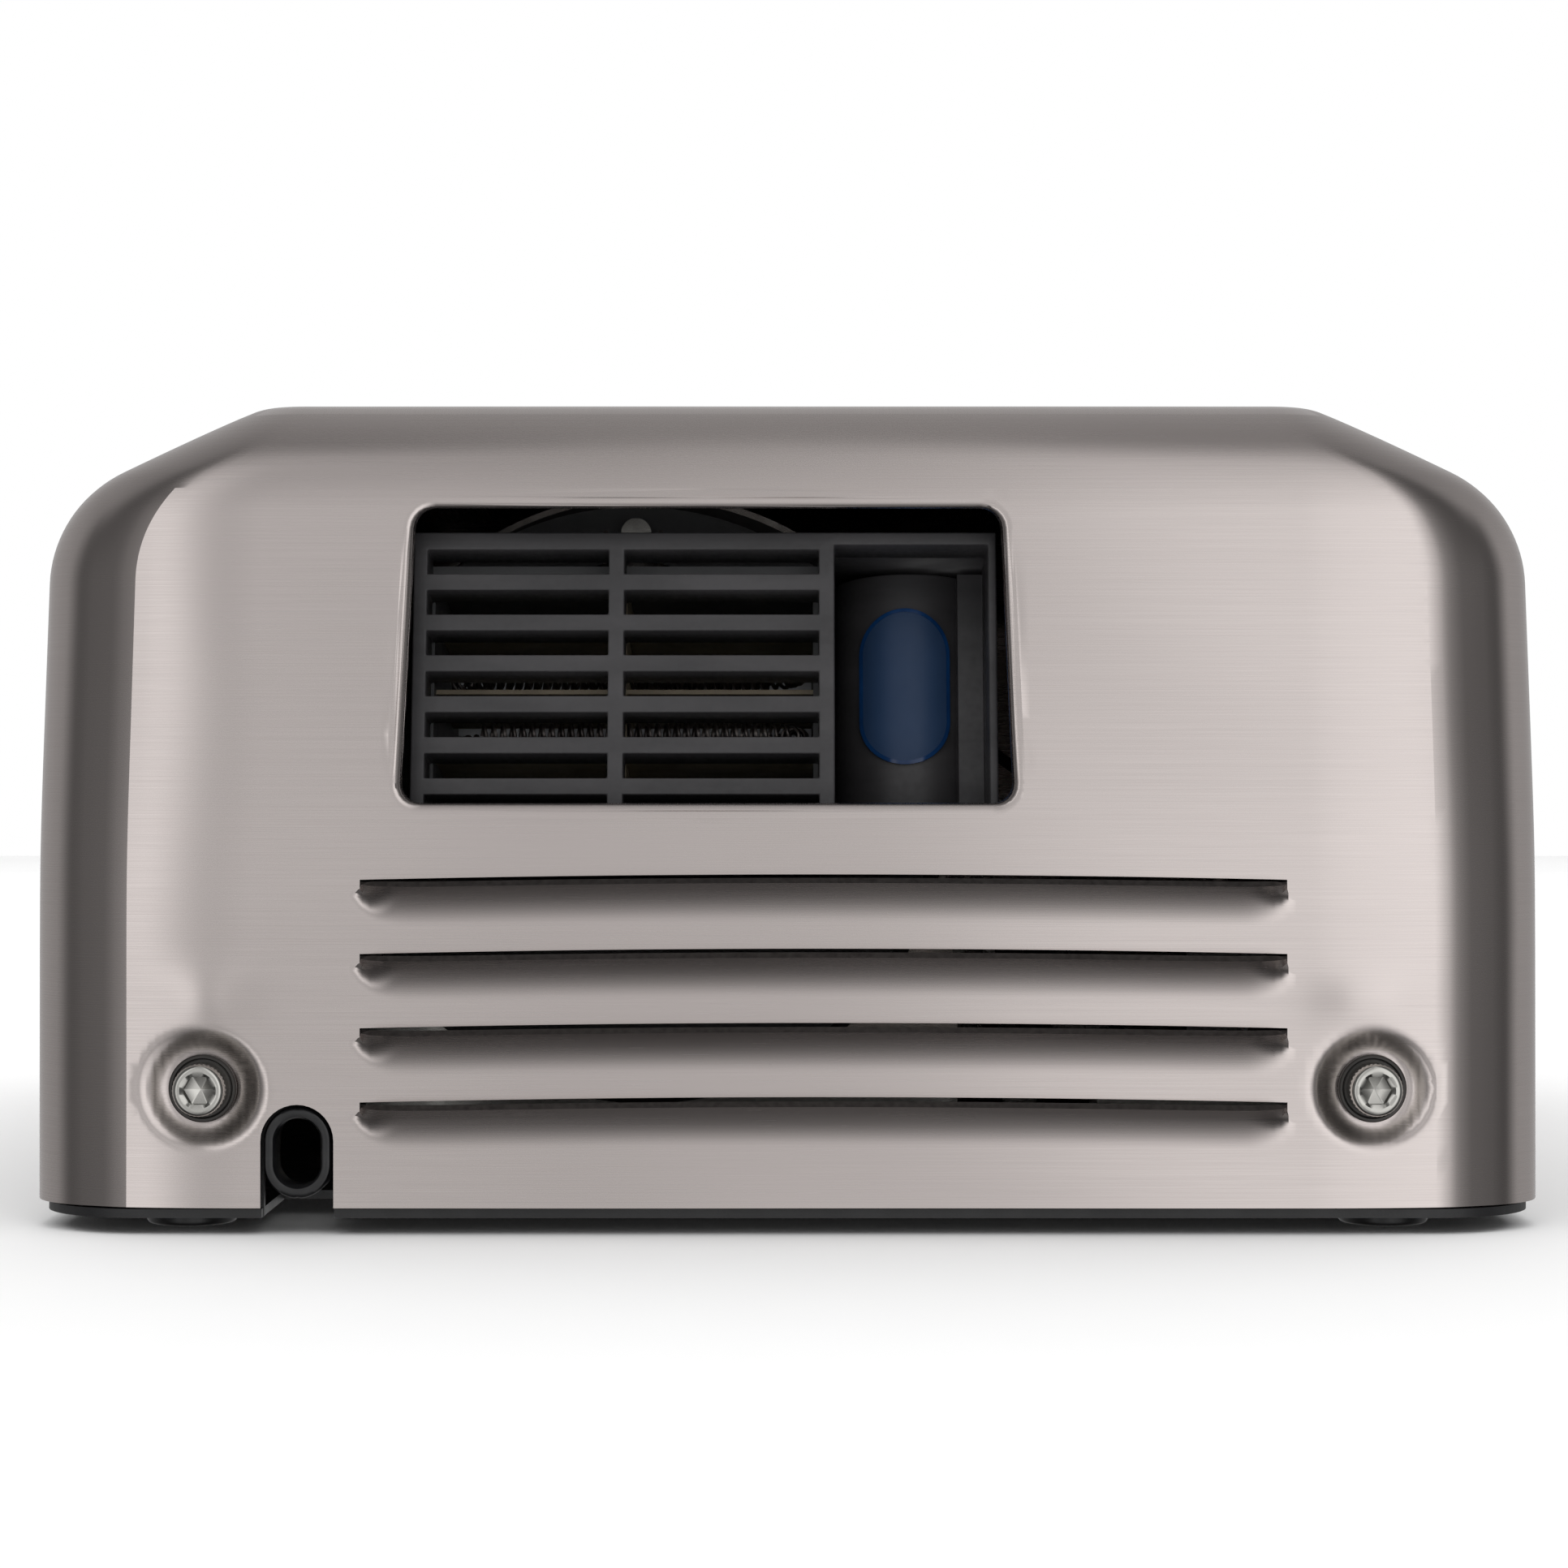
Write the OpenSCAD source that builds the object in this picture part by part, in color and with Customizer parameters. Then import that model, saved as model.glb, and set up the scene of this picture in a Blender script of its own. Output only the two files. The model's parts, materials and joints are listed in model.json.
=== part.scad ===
// Wall-mounted hand dryer, lying on its back with the wall side down.
// X is the dryer's width, +Y points to its top end, +Z away from the wall.
// The air outlet, the intake louvres and the cover screws are on the underside, at -Y.

/* [Cover] */
// Width of the cover at its open rim
cover_w = 257.4; // [230:0.2:290]
// Length from the louvre hoods to the top end, which is the dryer's height on a wall
cover_l = 333; // [300:1:360]
// Distance from the wall to the front of the cover
cover_d = 143; // [125:1:165]
// Thickness of the cover's sheet
sheet_t = 1.2; // [0.8:0.1:1.6]
// Height of the cover's rim above the wall
rim_z = 3.5; // [3.2:0.1:5]
// Half the width of the flat front
front_half_w = 90.5; // [70:0.5:105]
// Slope of the chamfers beside the front, in degrees
chamfer_angle = 27; // [20:1:40]
// Radius where a side wall meets its chamfer
shoulder_r = 22; // [10:1:30]
// Radius where a chamfer meets the front
front_r = 9; // [4:1:15]
// Radius of the edges around the underside
edge_r = 20; // [12:1:26]
// Rise of the front from its edges to its middle
crown = 1; // [0.5:0.1:2]
// How far each side wall leans in between the rim and the shoulder
side_draft = 1; // [0.5:0.1:3]
// Lean of the underside around the outlet, in degrees
lean = 10; // [4:1:14]
// Height where the underside starts to lean
lean_z = 64; // [62:1:70]

/* [Outlet] */
// Left edge of the outlet window
window_left = -64; // [-80:0.5:-50]
// Right edge of the outlet window
window_right = 37; // [30:0.5:50]
// Lower edge of the outlet window
window_low = 72.3; // [70:0.1:80]
// Upper edge of the outlet window
window_high = 122.4; // [110:0.1:124]
// Depth of the outlet face behind the cover
face_depth = 10; // [6:0.5:14]
// Number of rows of air slots
slot_rows = 7; // [4:1:7]
// Distance from one row of slots to the next
slot_pitch = 7.15; // [6:0.05:8]
// Height of one air slot
slot_h = 4.2; // [3:0.1:5]
// Width of the sensor lens
lens_w = 16; // [10:0.5:18]
// Height of the sensor lens
lens_h = 28; // [20:0.5:34]

/* [Louvres] */
// Number of intake louvres
louvre_count = 4; // [2:1:4]
// Length of one louvre
louvre_l = 155; // [100:1:170]
// Distance from one louvre to the next
louvre_pitch = 12.4; // [11:0.1:14]
// How far a louvre's hood stands out of the underside
hood_out = 4; // [2:0.1:5]

/* [Fixings] */
// Sideways distance of a cover screw from the middle
screw_x = 98; // [90:0.5:102]
// Height of the cover screws
screw_z = 24.5; // [22:0.5:28]
// Diameter of a cover screw's head
screw_head_d = 8.8; // [8:0.1:10]
// Diameter of the foot pads
foot_d = 15.4; // [12:0.2:18]
// Sideways distance of a foot from the middle
foot_x = 102.8; // [95:0.2:108]
// Sideways distance between the two columns of wall bolts
bolt_spacing_x = 200; // [190:2:204]
// Distance between the two rows of wall bolts
bolt_spacing_y = 240; // [230:2:250]
// Diameter of a wall bolt hole
bolt_hole_d = 7; // [5:0.5:9]
// Diameter of the hole for a cable out of the wall
cable_hole_d = 22; // [18:1:26]

/* [Motor] */
// Sideways position of the motor's axis
axis_x = -28; // [-34:0.5:-26]
// Height of the motor's axis above the wall
axis_z = 72; // [68:0.5:75]
// Radius of the blower housing
housing_r = 55; // [50:0.5:56]
// Radius of the impellers
impeller_r = 46; // [40:0.5:48]
// Number of vanes on an impeller
vane_count = 7; // [5:1:9]
// Radius of the motor shaft
shaft_r = 4; // [3:0.1:4.5]
// Radius of the armature
armature_r = 22; // [18:0.5:23]
// Outer radius of the stator
stator_r = 40; // [36:0.5:42]

/* [Hidden] */
$fn = 48;

steel = [0.75, 0.72, 0.71];
dark_steel = [0.12, 0.12, 0.13];
zinc = [0.7, 0.7, 0.68];
black_plastic = [0.09, 0.09, 0.09];
grey_plastic = [0.45, 0.46, 0.47];
white_plastic = [0.86, 0.85, 0.82];
black_rubber = [0.05, 0.05, 0.05];
lens_blue = [0.09, 0.19, 0.36];
mica = [0.66, 0.6, 0.5];
nichrome = [0.42, 0.4, 0.4];
copper = [0.72, 0.4, 0.22];
carbon = [0.14, 0.14, 0.15];
board_green = [0.1, 0.34, 0.2];
aluminium = [0.72, 0.73, 0.75];
red_wire = [0.6, 0.09, 0.07];

through = 400;
front_z = cover_d - crown;
top_y = cover_l / 2;
panel_y = hood_out - cover_l / 2;
panel_in_y = panel_y + sheet_t;
side_x = cover_w / 2 - side_draft;
shoulder = [side_x, front_z - (side_x - front_half_w) * tan(chamfer_angle)];
side_angle = 90 + atan(side_draft / (shoulder[1] - rim_z));
chamfer_way = 180 - chamfer_angle;

plate_z = 2.8;
plate_t = 1.5;
plate_top = plate_z + plate_t;
plate_gap = 0.4;

window_x = (window_left + window_right) / 2;
window_z = (window_low + window_high) / 2;
window_y = panel_y + (window_z - lean_z) * tan(lean);
slot_top = 18.5;
duct_left = -63;
duct_right = 6;
duct_low = -29;
duct_high = 20;
duct_wall = 1.5;
sensor_left = 8.1;
sensor_right = 34.5;
sensor_x = 21.5;
sensor_back = face_depth + 30;
sensor_r = 13;
lens_x = 20.7;
lens_up = 0;

louvre_x = 6;
louvre_top = 59.8;
slit_gap = 0.75;

dimple_r = 9.6;
dimple_depth = 2.4;
screw_r = 2.4;
washer_t = 1;
washer_y = panel_y + dimple_depth - washer_t;
tab_t = 1.5;
tab_y = panel_in_y + dimple_depth + 0.3;

grommet_x = -82;
grommet_z = 13.8;
grommet_w = 11.4;
grommet_h = 15.4;
notch_w = 12.2;

foot_low_y = -142;
foot_high_y = 142;
stem_r = 3;
cable_hole = [42, -116];

flange_y = -95;
flange_t = 2.5;
blower_y = flange_y + flange_t;
split_y = -52;
blower_back = -30;
shell_t = 1.6;
bore_r = housing_r - shell_t;
eye_r = 18;
motor_y = -6;
stack_l = 42;
bearing_r = 11;
bearing_w = 7;
end_y = motor_y + stack_l;
end_plate_y = 66;
shaft_clearance = 0.05;
saddle_y = -45;

board_x = 80;
board_y = 15;
board_w = 76;
board_l = 112;
board_z = 15;
board_t = 1.6;
board_top = board_z + board_t;
lead_end_z = board_top + 1.7;

// Points along the arc that rounds corner p, from heading a0 to heading a1, turning left.
function fillet(p, a0, a1, r, n) =
    let (reach = r * tan((a1 - a0) / 2),
         middle = p - reach * [cos(a0), sin(a0)] + r * [-sin(a0), cos(a0)])
    [for (i = [0:n]) let (a = a0 + (a1 - a0) * i / n) middle + r * [sin(a), -cos(a)]];

function along(p, q, f) = p + (q - p) * f;

// Half width and height of the cover's cross-section, from the rim to the middle of the front.
function cover_profile() =
    let (rim = [cover_w / 2, rim_z],
         corner = [front_half_w, front_z],
         low = fillet(shoulder, side_angle, chamfer_way, shoulder_r, 8),
         high = fillet(corner, chamfer_way, 180, front_r, 3))
    concat(
        [rim, along(rim, shoulder, (lean_z - rim_z) / (shoulder[1] - rim_z))],
        low,
        [for (i = [1:4]) along(low[8], high[0], i / 5)],
        high,
        [for (w = [60, 30, 8]) [w, front_z + crown * (1 - pow(w / front_half_w, 2))]]);

// How far the underside has rounded away at height z.
function edge_round(z) =
    let (rise = min(edge_r, max(0, z - (front_z - edge_r))))
    edge_r - sqrt(edge_r * edge_r - rise * rise);

function underside_y(p) =
    panel_y + max(0, min(p[1], front_z) - lean_z) * tan(lean) + edge_round(p[1])
    + (p[1] > front_z ? front_half_w - p[0] : 0);

function corner_r(z) = max(6, edge_r - 0.7 * edge_round(z));

// Outline of the cover at one point of its profile, moved in by the distance t.
function cover_section(p, t) =
    let (half = p[0] - t,
         low = underside_y(p) + t,
         high = top_y - (cover_w / 2 - p[0]) - t,
         r = corner_r(p[1]) - t,
         centres = [[half - r, low + r], [half - r, high - r], [r - half, high - r], [r - half, low + r]])
    [for (c = [0:3]) for (i = [0:8])
        let (a = (c - 1) * 90 + i * 90 / 8)
        [centres[c][0] + r * cos(a), centres[c][1] + r * sin(a), p[1] - t]];

// The solid inside the cover's surface, moved in by the distance t.
module cover_solid(t)
{
    sections = [for (p = cover_profile()) cover_section(p, t)];
    count = len(sections[0]);
    last = len(sections) - 1;
    points = [for (s = sections) for (q = s) q];
    sides = [for (i = [0:last - 1]) for (j = [0:count - 1])
        let (a = i * count + j, b = i * count + (j + 1) % count)
        for (face = [[a, a + count, b], [b, a + count, b + count]]) face];
    base = [for (j = [0:count - 1]) j];
    front = [for (j = [0:count - 1]) last * count + count - 1 - j];
    polyhedron(points, concat([base], sides, [front]), convexity = 6);
}

// A flat shape in X and Z, given thickness from y0 to y1.
module upright(y0, y1)
{
    translate([0, y1, 0]) rotate([90, 0, 0]) linear_extrude(y1 - y0) children();
}

// Children drawn along Z are laid along the motor's axis, starting at y.
module on_axis(y)
{
    translate([axis_x, y, axis_z]) rotate([-90, 0, 0]) children();
}

// Children are drawn from the middle of the outlet window: X across, Y inward, Z up its lean.
module at_window()
{
    translate([0, window_y, window_z]) rotate([-lean, 0, 0]) children();
}

module ring(r_out, r_in, h)
{
    difference() {
        cylinder(h = h, r = r_out);
        translate([0, 0, -1]) cylinder(h = h + 2, r = r_in);
    }
}

module stadium(w, h)
{
    square([w, h - w], center = true);
    for (side = [-1, 1]) translate([0, side * (h - w) / 2]) circle(d = w);
}

module rounded(w, h, r)
{
    square([w - 2 * r, h], center = true);
    square([w, h - 2 * r], center = true);
    for (x = [-1, 1]) for (y = [-1, 1])
        translate([x * (w / 2 - r), y * (h / 2 - r)]) circle(r = r);
}

// A round bar from p to q.
module rod(p, q, r)
{
    v = q - p;
    turn = atan2(v[1], v[0]);
    tilt = acos(v[2] / norm(v));
    translate(p) rotate([0, tilt, turn]) cylinder(h = norm(v), r = r);
}

// An insulated wire through a list of points. Each bend is a bead that the straight lengths end inside.
module wire(points, r)
{
    last = len(points) - 1;
    for (i = [0:last - 1]) {
        v = points[i + 1] - points[i];
        short = v / norm(v) * 1.05 * r;
        rod(points[i] + (i > 0 ? 1 : 0) * short, points[i + 1] - (i < last - 1 ? 1 : 0) * short, r);
    }
    for (i = [1:last - 1]) translate(points[i]) sphere(r = 1.5 * r);
}

// A pan-head screw pointing down from z = 0, its head above.
module pan_screw(head_r, head_h, r, l)
{
    difference() {
        cylinder(h = head_h, r = head_r);
        translate([-head_r, -0.5, head_h - 0.8]) cube([head_r * 2, 1, 1]);
        translate([-0.5, -head_r, head_h - 0.8]) cube([1, head_r * 2, 1]);
    }
    translate([0, 0, -l]) cylinder(h = l, r = r);
}

// A louvre's spindle, lying along X with its middle at the origin.
module spindle(r)
{
    half = louvre_l / 2;
    rotate([0, 90, 0]) rotate_extrude()
        polygon([[0, -half], [1.4, -half], [r, 12 - half], [r, half - 12], [1.4, half], [0, half]]);
}

module louvre_at(i)
{
    translate([louvre_x, panel_in_y, louvre_top - i * louvre_pitch]) children();
}

module cover()
{
    color(steel) difference() {
        union() {
            difference() {
                cover_solid(0);
                cover_solid(sheet_t);
            }
            for (side = [-1, 1]) translate([side * screw_x, 0, screw_z])
                upright(panel_y + 0.1, panel_in_y + dimple_depth) circle(r = dimple_r + sheet_t);
            for (i = [0:louvre_count - 1]) louvre_at(i) intersection() {
                spindle(hood_out + sheet_t);
                translate([-louvre_l, -20, -20 - slit_gap]) cube([louvre_l * 2, 20, 20]);
            }
        }
        translate([window_x, 0, window_z]) upright(-through, panel_y + 40)
            rounded(window_right - window_left, window_high - window_low, 3);
        for (i = [0:louvre_count - 1]) louvre_at(i) intersection() {
            spindle(hood_out);
            translate([-louvre_l, -20, -20]) cube([louvre_l * 2, 40, 20]);
        }
        for (side = [-1, 1]) translate([side * screw_x, 0, screw_z]) {
            upright(-through, panel_y + dimple_depth) circle(r = dimple_r);
            upright(-through, panel_y + 20) circle(r = screw_r + 0.3);
        }
        translate([grommet_x, 0, grommet_z]) upright(-through, panel_y + 10) {
            stadium(notch_w, grommet_h + 0.8);
            translate([-notch_w / 2, -40]) square([notch_w, 40]);
        }
    }
}

module screw_washers()
{
    color(dark_steel) for (side = [-1, 1]) translate([side * screw_x, washer_y, screw_z])
        rotate([-90, 0, 0]) ring(5.7, screw_r + 0.3, washer_t);
}

// A socket-head cap screw; its head rests on the washer.
module cover_screw(side)
{
    head_l = 5;
    socket_r = 4.6 / 2 / cos(30);
    color(zinc) translate([side * screw_x, washer_y, screw_z]) rotate([90, 0, 0]) difference() {
        union() {
            cylinder(h = head_l, d = screw_head_d);
            translate([0, 0, -16]) cylinder(h = 16, r = screw_r);
        }
        translate([0, 0, head_l - 2.6]) cylinder(h = 3, r = socket_r, $fn = 6);
        translate([0, 0, head_l - 3.8]) cylinder(h = 1.21, r1 = 0.1, r2 = 2.2);
    }
}

module screw_tab(side)
{
    slot_r = screw_r + 0.4;
    translate([side * screw_x, 0, 0]) upright(tab_y, tab_y + tab_t) difference() {
        translate([-10, plate_z]) square([20, screw_z + 10 - plate_z]);
        translate([0, screw_z]) circle(r = slot_r);
        translate([-slot_r, screw_z]) square([2 * slot_r, 40]);
    }
}

module grommet_bracket()
{
    translate([grommet_x, 0, 0]) upright(tab_y, tab_y + tab_t) difference() {
        translate([-11, plate_z]) square([22, 24]);
        translate([0, grommet_z]) stadium(notch_w - 3, grommet_h - 3);
        translate([-(notch_w - 3) / 2, 0]) square([notch_w - 3, grommet_z]);
        translate([-notch_w / 2, 0]) square([notch_w, grommet_z - 3]);
    }
}

module base_plate()
{
    plate_w = cover_w - 2 * (sheet_t + plate_gap);
    low = panel_in_y + plate_gap;
    high = top_y - sheet_t - plate_gap;
    color(dark_steel) {
        difference() {
            translate([0, (low + high) / 2, plate_z]) linear_extrude(plate_t)
                rounded(plate_w, high - low, edge_r - sheet_t - plate_gap);
            for (x = [-1, 1]) for (y = [-1, 1])
                translate([x * bolt_spacing_x / 2, y * bolt_spacing_y / 2, 0])
                    cylinder(h = 10, d = bolt_hole_d);
            for (x = [-foot_x, foot_x]) for (y = [foot_low_y, foot_high_y])
                translate([x, y, 0]) cylinder(h = 10, r = stem_r);
            translate([cable_hole[0], cable_hole[1], 0]) cylinder(h = 10, d = cable_hole_d);
            translate([grommet_x - notch_w / 2, low - 5, 0]) cube([notch_w, 33, 10]);
        }
        for (side = [-1, 1]) screw_tab(side);
        grommet_bracket();
        for (x = [-70, 70]) translate([x - 10, high - 3, plate_z]) cube([20, tab_t, 17]);
    }
}

module foot(x, y)
{
    color(black_rubber) translate([x, y, 0]) rotate_extrude() polygon([
        [0, 0], [foot_d / 2 - 0.6, 0], [foot_d / 2, 0.6], [foot_d / 2, plate_z], [stem_r, plate_z],
        [stem_r, plate_top], [stem_r + 1.2, plate_top], [stem_r + 0.6, plate_top + 2], [0, plate_top + 2]
    ]);
}

module cable_grommet()
{
    lip_y = panel_y + 0.6;
    color(black_rubber) translate([grommet_x, 0, grommet_z]) difference() {
        union() {
            upright(lip_y, tab_y) stadium(grommet_w, grommet_h);
            upright(tab_y, tab_y + tab_t) stadium(notch_w - 3, grommet_h - 3);
            upright(tab_y + tab_t, tab_y + tab_t + 3) stadium(grommet_w, grommet_h);
        }
        upright(lip_y - 1, tab_y + 10) stadium(7.6, 11.4);
    }
}

// The moulded outlet: a grille of air slots and, beside it, a deep pocket for the sensor.
module outlet_grille()
{
    left = -64.4;
    right = 36;
    low = -30;
    high = 23.7;
    rib = 2.7;
    columns = [[-62, -30.8], [-28.1, 5.4]];
    color(black_plastic) at_window() difference() {
        union() {
            translate([left, face_depth, low]) cube([right - left, 10, high - low]);
            translate([sensor_left - duct_wall, face_depth, low])
                cube([right - sensor_left + duct_wall, sensor_back - face_depth + 4, high - low]);
        }
        for (row = [0:slot_rows - 1]) for (c = columns)
            translate([c[0], 0, slot_top - row * slot_pitch - slot_h / 2])
                cube([c[1] - c[0], 30, slot_h]);
        difference() {
            translate([sensor_left, 0, low + rib])
                cube([sensor_right - sensor_left, sensor_back, 21.5 - low - rib]);
            translate([sensor_x, sensor_back, low]) cylinder(h = high - low, r = sensor_r);
            translate([30, face_depth + 17, low]) cube([10, 30, high - low]);
        }
        translate([sensor_x, sensor_back, low + 6]) cylinder(h = high - low - 12, r = sensor_r - 2);
        translate([lens_x, 0, lens_up]) upright(0, sensor_back) stadium(lens_w, lens_h);
    }
}

module sensor_lens()
{
    color(lens_blue) at_window() intersection() {
        translate([lens_x, 0, lens_up]) upright(0, sensor_back - 1) stadium(lens_w, lens_h);
        translate([sensor_x, sensor_back, -40]) ring(sensor_r + 0.6, sensor_r - 2, 80);
    }
}

module sensor_board()
{
    color(board_green) at_window() translate([sensor_x - 7.5, sensor_back - 3, lens_up - 14])
        cube([15, 1.6, 28]);
}

module sensor_leds()
{
    color(carbon) at_window() for (up = [-7, 7])
        translate([lens_x, sensor_back - 8, lens_up + up]) rotate([-90, 0, 0]) {
            cylinder(h = 5, r = 2.5);
            sphere(r = 2.5);
        }
}

module duct_space(extra, depth0, depth1)
{
    translate([duct_left + duct_wall - extra, depth0, duct_low + duct_wall - extra])
        cube([duct_right - duct_left - 2 * duct_wall + 2 * extra, depth1 - depth0,
              duct_high - duct_low - 2 * duct_wall + 2 * extra]);
}

module outlet_duct()
{
    color(grey_plastic) difference() {
        union() {
            difference() {
                at_window() duct_space(duct_wall, face_depth + 10, 90);
                translate([-200, flange_y, -200]) cube([400, 200, 600]);
            }
            on_axis(flange_y) cylinder(h = flange_t, r = housing_r);
        }
        at_window() duct_space(0, 0, 120);
        for (a = [0, 90, 180, 270]) on_axis(flange_y - 1) rotate([0, 0, a])
            translate([50, 0, 0]) cylinder(h = 10, r = 1.5);
    }
}

// Heater wire runs, as [depth, height] in the window's frame.
heater_rows = [for (d = [30, 40, 50]) for (up = [-20, -8, 4]) [d, up]];

module heater_frame()
{
    color(mica) at_window() difference() {
        union() {
            translate([-29, 24, duct_low + duct_wall]) cube([0.8, 32, duct_high - duct_low - 2 * duct_wall]);
            for (up = [-14, -2, 10])
                translate([duct_left + duct_wall, 24, up]) cube([duct_right - duct_left - 2 * duct_wall, 32, 0.8]);
        }
        for (row = heater_rows) translate([-40, row[0], row[1]]) rotate([0, 90, 0])
            cylinder(h = 30, r = 2.5);
    }
}

// Three flat serpentines of coiled wire, each drawn as the bar that its coil fills.
module heater_coil()
{
    bend_r = 5;
    near = duct_left + 9;
    far = duct_right - 9;
    color(nichrome) at_window() for (up = [-20, -8, 4]) translate([0, 40, up]) {
        for (side = [-1, 0, 1]) translate([near, side * 2 * bend_r, 0]) rotate([0, 90, 0])
            cylinder(h = far - near, r = 2.1, $fn = 24);
        translate([far, bend_r, 0]) rotate([0, 0, -90])
            rotate_extrude(angle = 180, $fn = 24) translate([bend_r, 0]) circle(r = 2.1);
        translate([near, -bend_r, 0]) rotate([0, 0, 90])
            rotate_extrude(angle = 180, $fn = 24) translate([bend_r, 0]) circle(r = 2.1);
    }
}

module thermal_cutout()
{
    color(zinc) at_window() translate([-28, 45, duct_high]) {
        cylinder(h = 5, r = 8);
        for (side = [-1, 1]) translate([side * 5 - 0.4, -3, 5]) cube([0.8, 6, 7]);
    }
}

module duct_screws()
{
    color(zinc) for (a = [0, 90, 180, 270]) on_axis(flange_y) rotate([0, 0, a])
        translate([50, 0, 0]) mirror([0, 0, 1]) pan_screw(2.8, 2, 1.5, flange_t);
}

module blower_housing_front()
{
    color(grey_plastic) difference() {
        on_axis(blower_y) cylinder(h = split_y - blower_y, r = housing_r);
        on_axis(blower_y + shell_t) cylinder(h = through, r = bore_r);
        intersection() {
            at_window() duct_space(0, 0, 120);
            on_axis(-110) cylinder(h = 50, r = housing_r - 4);
        }
    }
}

module blower_housing_rear()
{
    color(grey_plastic) difference() {
        on_axis(split_y) cylinder(h = blower_back - split_y, r = housing_r);
        on_axis(split_y - 1) cylinder(h = blower_back - split_y - shell_t + 1, r = bore_r);
        on_axis(split_y) cylinder(h = 60, r = eye_r + 2);
    }
}

// One curved vane, lying in the XY plane, from radius r_in to radius r_out.
module vane(r_in, r_out, h)
{
    sweep_r = r_out * 0.62;
    linear_extrude(h) intersection() {
        difference() {
            translate([sweep_r, 0]) circle(r = sweep_r);
            translate([sweep_r, 0]) circle(r = sweep_r - 1.2);
            translate([-1, -200]) square([400, 200]);
        }
        difference() {
            circle(r = r_out);
            circle(r = r_in);
        }
    }
}

// An impeller along Z: hub disc, vanes and an eyed shroud.
module impeller()
{
    difference() {
        union() {
            cylinder(h = 1.2, r = impeller_r);
            cylinder(h = 12, r = 9);
            for (i = [1:vane_count]) rotate([0, 0, i * 360 / vane_count]) translate([0, 0, 1])
                vane(11, impeller_r - 0.5, 12.5);
            translate([0, 0, 13.3]) ring(impeller_r, eye_r, 1.2);
        }
        translate([0, 0, -1]) cylinder(h = 20, r = shaft_r);
    }
}

module impeller_first()
{
    color(aluminium) on_axis(-47) impeller();
}

module impeller_second()
{
    color(aluminium) on_axis(-86) impeller();
}

module fan_nut()
{
    color(zinc) on_axis(-89.5) difference() {
        cylinder(h = 3.5, r = 7, $fn = 6);
        translate([0, 0, -1]) cylinder(h = 6, r = shaft_r);
    }
}

// The fixed plate between the stages, which leads the air back to the second eye.
module diffuser()
{
    color(black_plastic) on_axis(-66) {
        ring(bore_r, eye_r - 1, 1.5);
        for (i = [1:9]) rotate([0, 0, i * 40]) translate([0, 0, 1.4]) vane(18, bore_r - 1, 10.7);
        translate([0, 0, 12]) ring(impeller_r + 1, shaft_r + 2, 1.5);
    }
}

module motor_shaft()
{
    color(steel) on_axis(-90) cylinder(h = 164, r = shaft_r);
}

module motor_bearings()
{
    color(steel) for (y = [blower_back + 3, end_plate_y - bearing_w]) on_axis(y)
        ring(bearing_r, shaft_r + shaft_clearance, bearing_w);
}

module armature_core()
{
    color(dark_steel) on_axis(motor_y) difference() {
        cylinder(h = stack_l, r = armature_r);
        translate([0, 0, -1]) cylinder(h = stack_l + 2, r = shaft_r);
        for (i = [1:12]) rotate([0, 0, i * 30]) translate([armature_r - 3, 0, -1]) {
            cylinder(h = stack_l + 2, r = 2.2, $fn = 24);
            translate([0, -0.8, 0]) cube([6, 1.6, stack_l + 2]);
        }
    }
}

module armature_windings()
{
    color(copper) for (y = [motor_y - 6, end_y]) on_axis(y) difference() {
        cylinder(h = 6, r = armature_r - 2);
        translate([0, 0, -1]) cylinder(h = 8, r = shaft_r);
        for (i = [1:12]) rotate([0, 0, i * 30 + 15]) translate([armature_r - 2, 0, -1])
            cylinder(h = 8, r = 1.6, $fn = 24);
    }
}

module commutator()
{
    color(copper) on_axis(end_y + 6) difference() {
        cylinder(h = 14, r = 11);
        translate([0, 0, -1]) cylinder(h = 16, r = shaft_r);
        for (i = [1:12]) rotate([0, 0, i * 30]) translate([9.5, -0.3, -1]) cube([3, 0.6, 16]);
    }
}

// The yoke ring and its two pole shoes.
module stator_core()
{
    pole_r = armature_r + 1;
    color(dark_steel) on_axis(motor_y) linear_extrude(stack_l) {
        difference() {
            circle(r = stator_r);
            circle(r = stator_r - 6);
        }
        difference() {
            union() {
                square([16, 2 * stator_r - 6], center = true);
                intersection() {
                    circle(r = pole_r + 3);
                    square([32, 2 * stator_r], center = true);
                }
            }
            circle(r = pole_r);
        }
    }
}

module field_coils()
{
    color(copper) for (side = [-1, 1])
        translate([axis_x, motor_y + stack_l / 2, axis_z + side * 28.2 - 1.9]) linear_extrude(3.8)
            difference() {
                rounded(29, stack_l + 13, 5);
                square([16.4, stack_l + 0.4], center = true);
            }
}

module brush_box(side)
{
    translate([axis_x, end_y + 13, axis_z]) rotate([0, side * 90, 0]) children();
}

module brush_holders()
{
    color(white_plastic) for (side = [-1, 1]) brush_box(side) difference() {
        translate([-5, -6, 14]) cube([10, 12, 27]);
        translate([-3, -4, 13]) cube([6, 8, 26]);
    }
}

module carbon_brushes()
{
    color(carbon) for (side = [-1, 1]) brush_box(side) difference() {
        translate([-3, -4, 10.5]) cube([6, 8, 20]);
        rotate([90, 0, 0]) cylinder(h = 20, r = 11.3, center = true);
    }
}

// Cuts the air windows between four arms, from radius r_in to radius r_out.
module arm_gaps(r_in, r_out, h)
{
    difference() {
        ring(r_out, r_in, h);
        for (a = [45, 135]) rotate([0, 0, a]) translate([-r_out - 1, -5, -1])
            cube([2 * r_out + 2, 10, h + 2]);
    }
}

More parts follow.
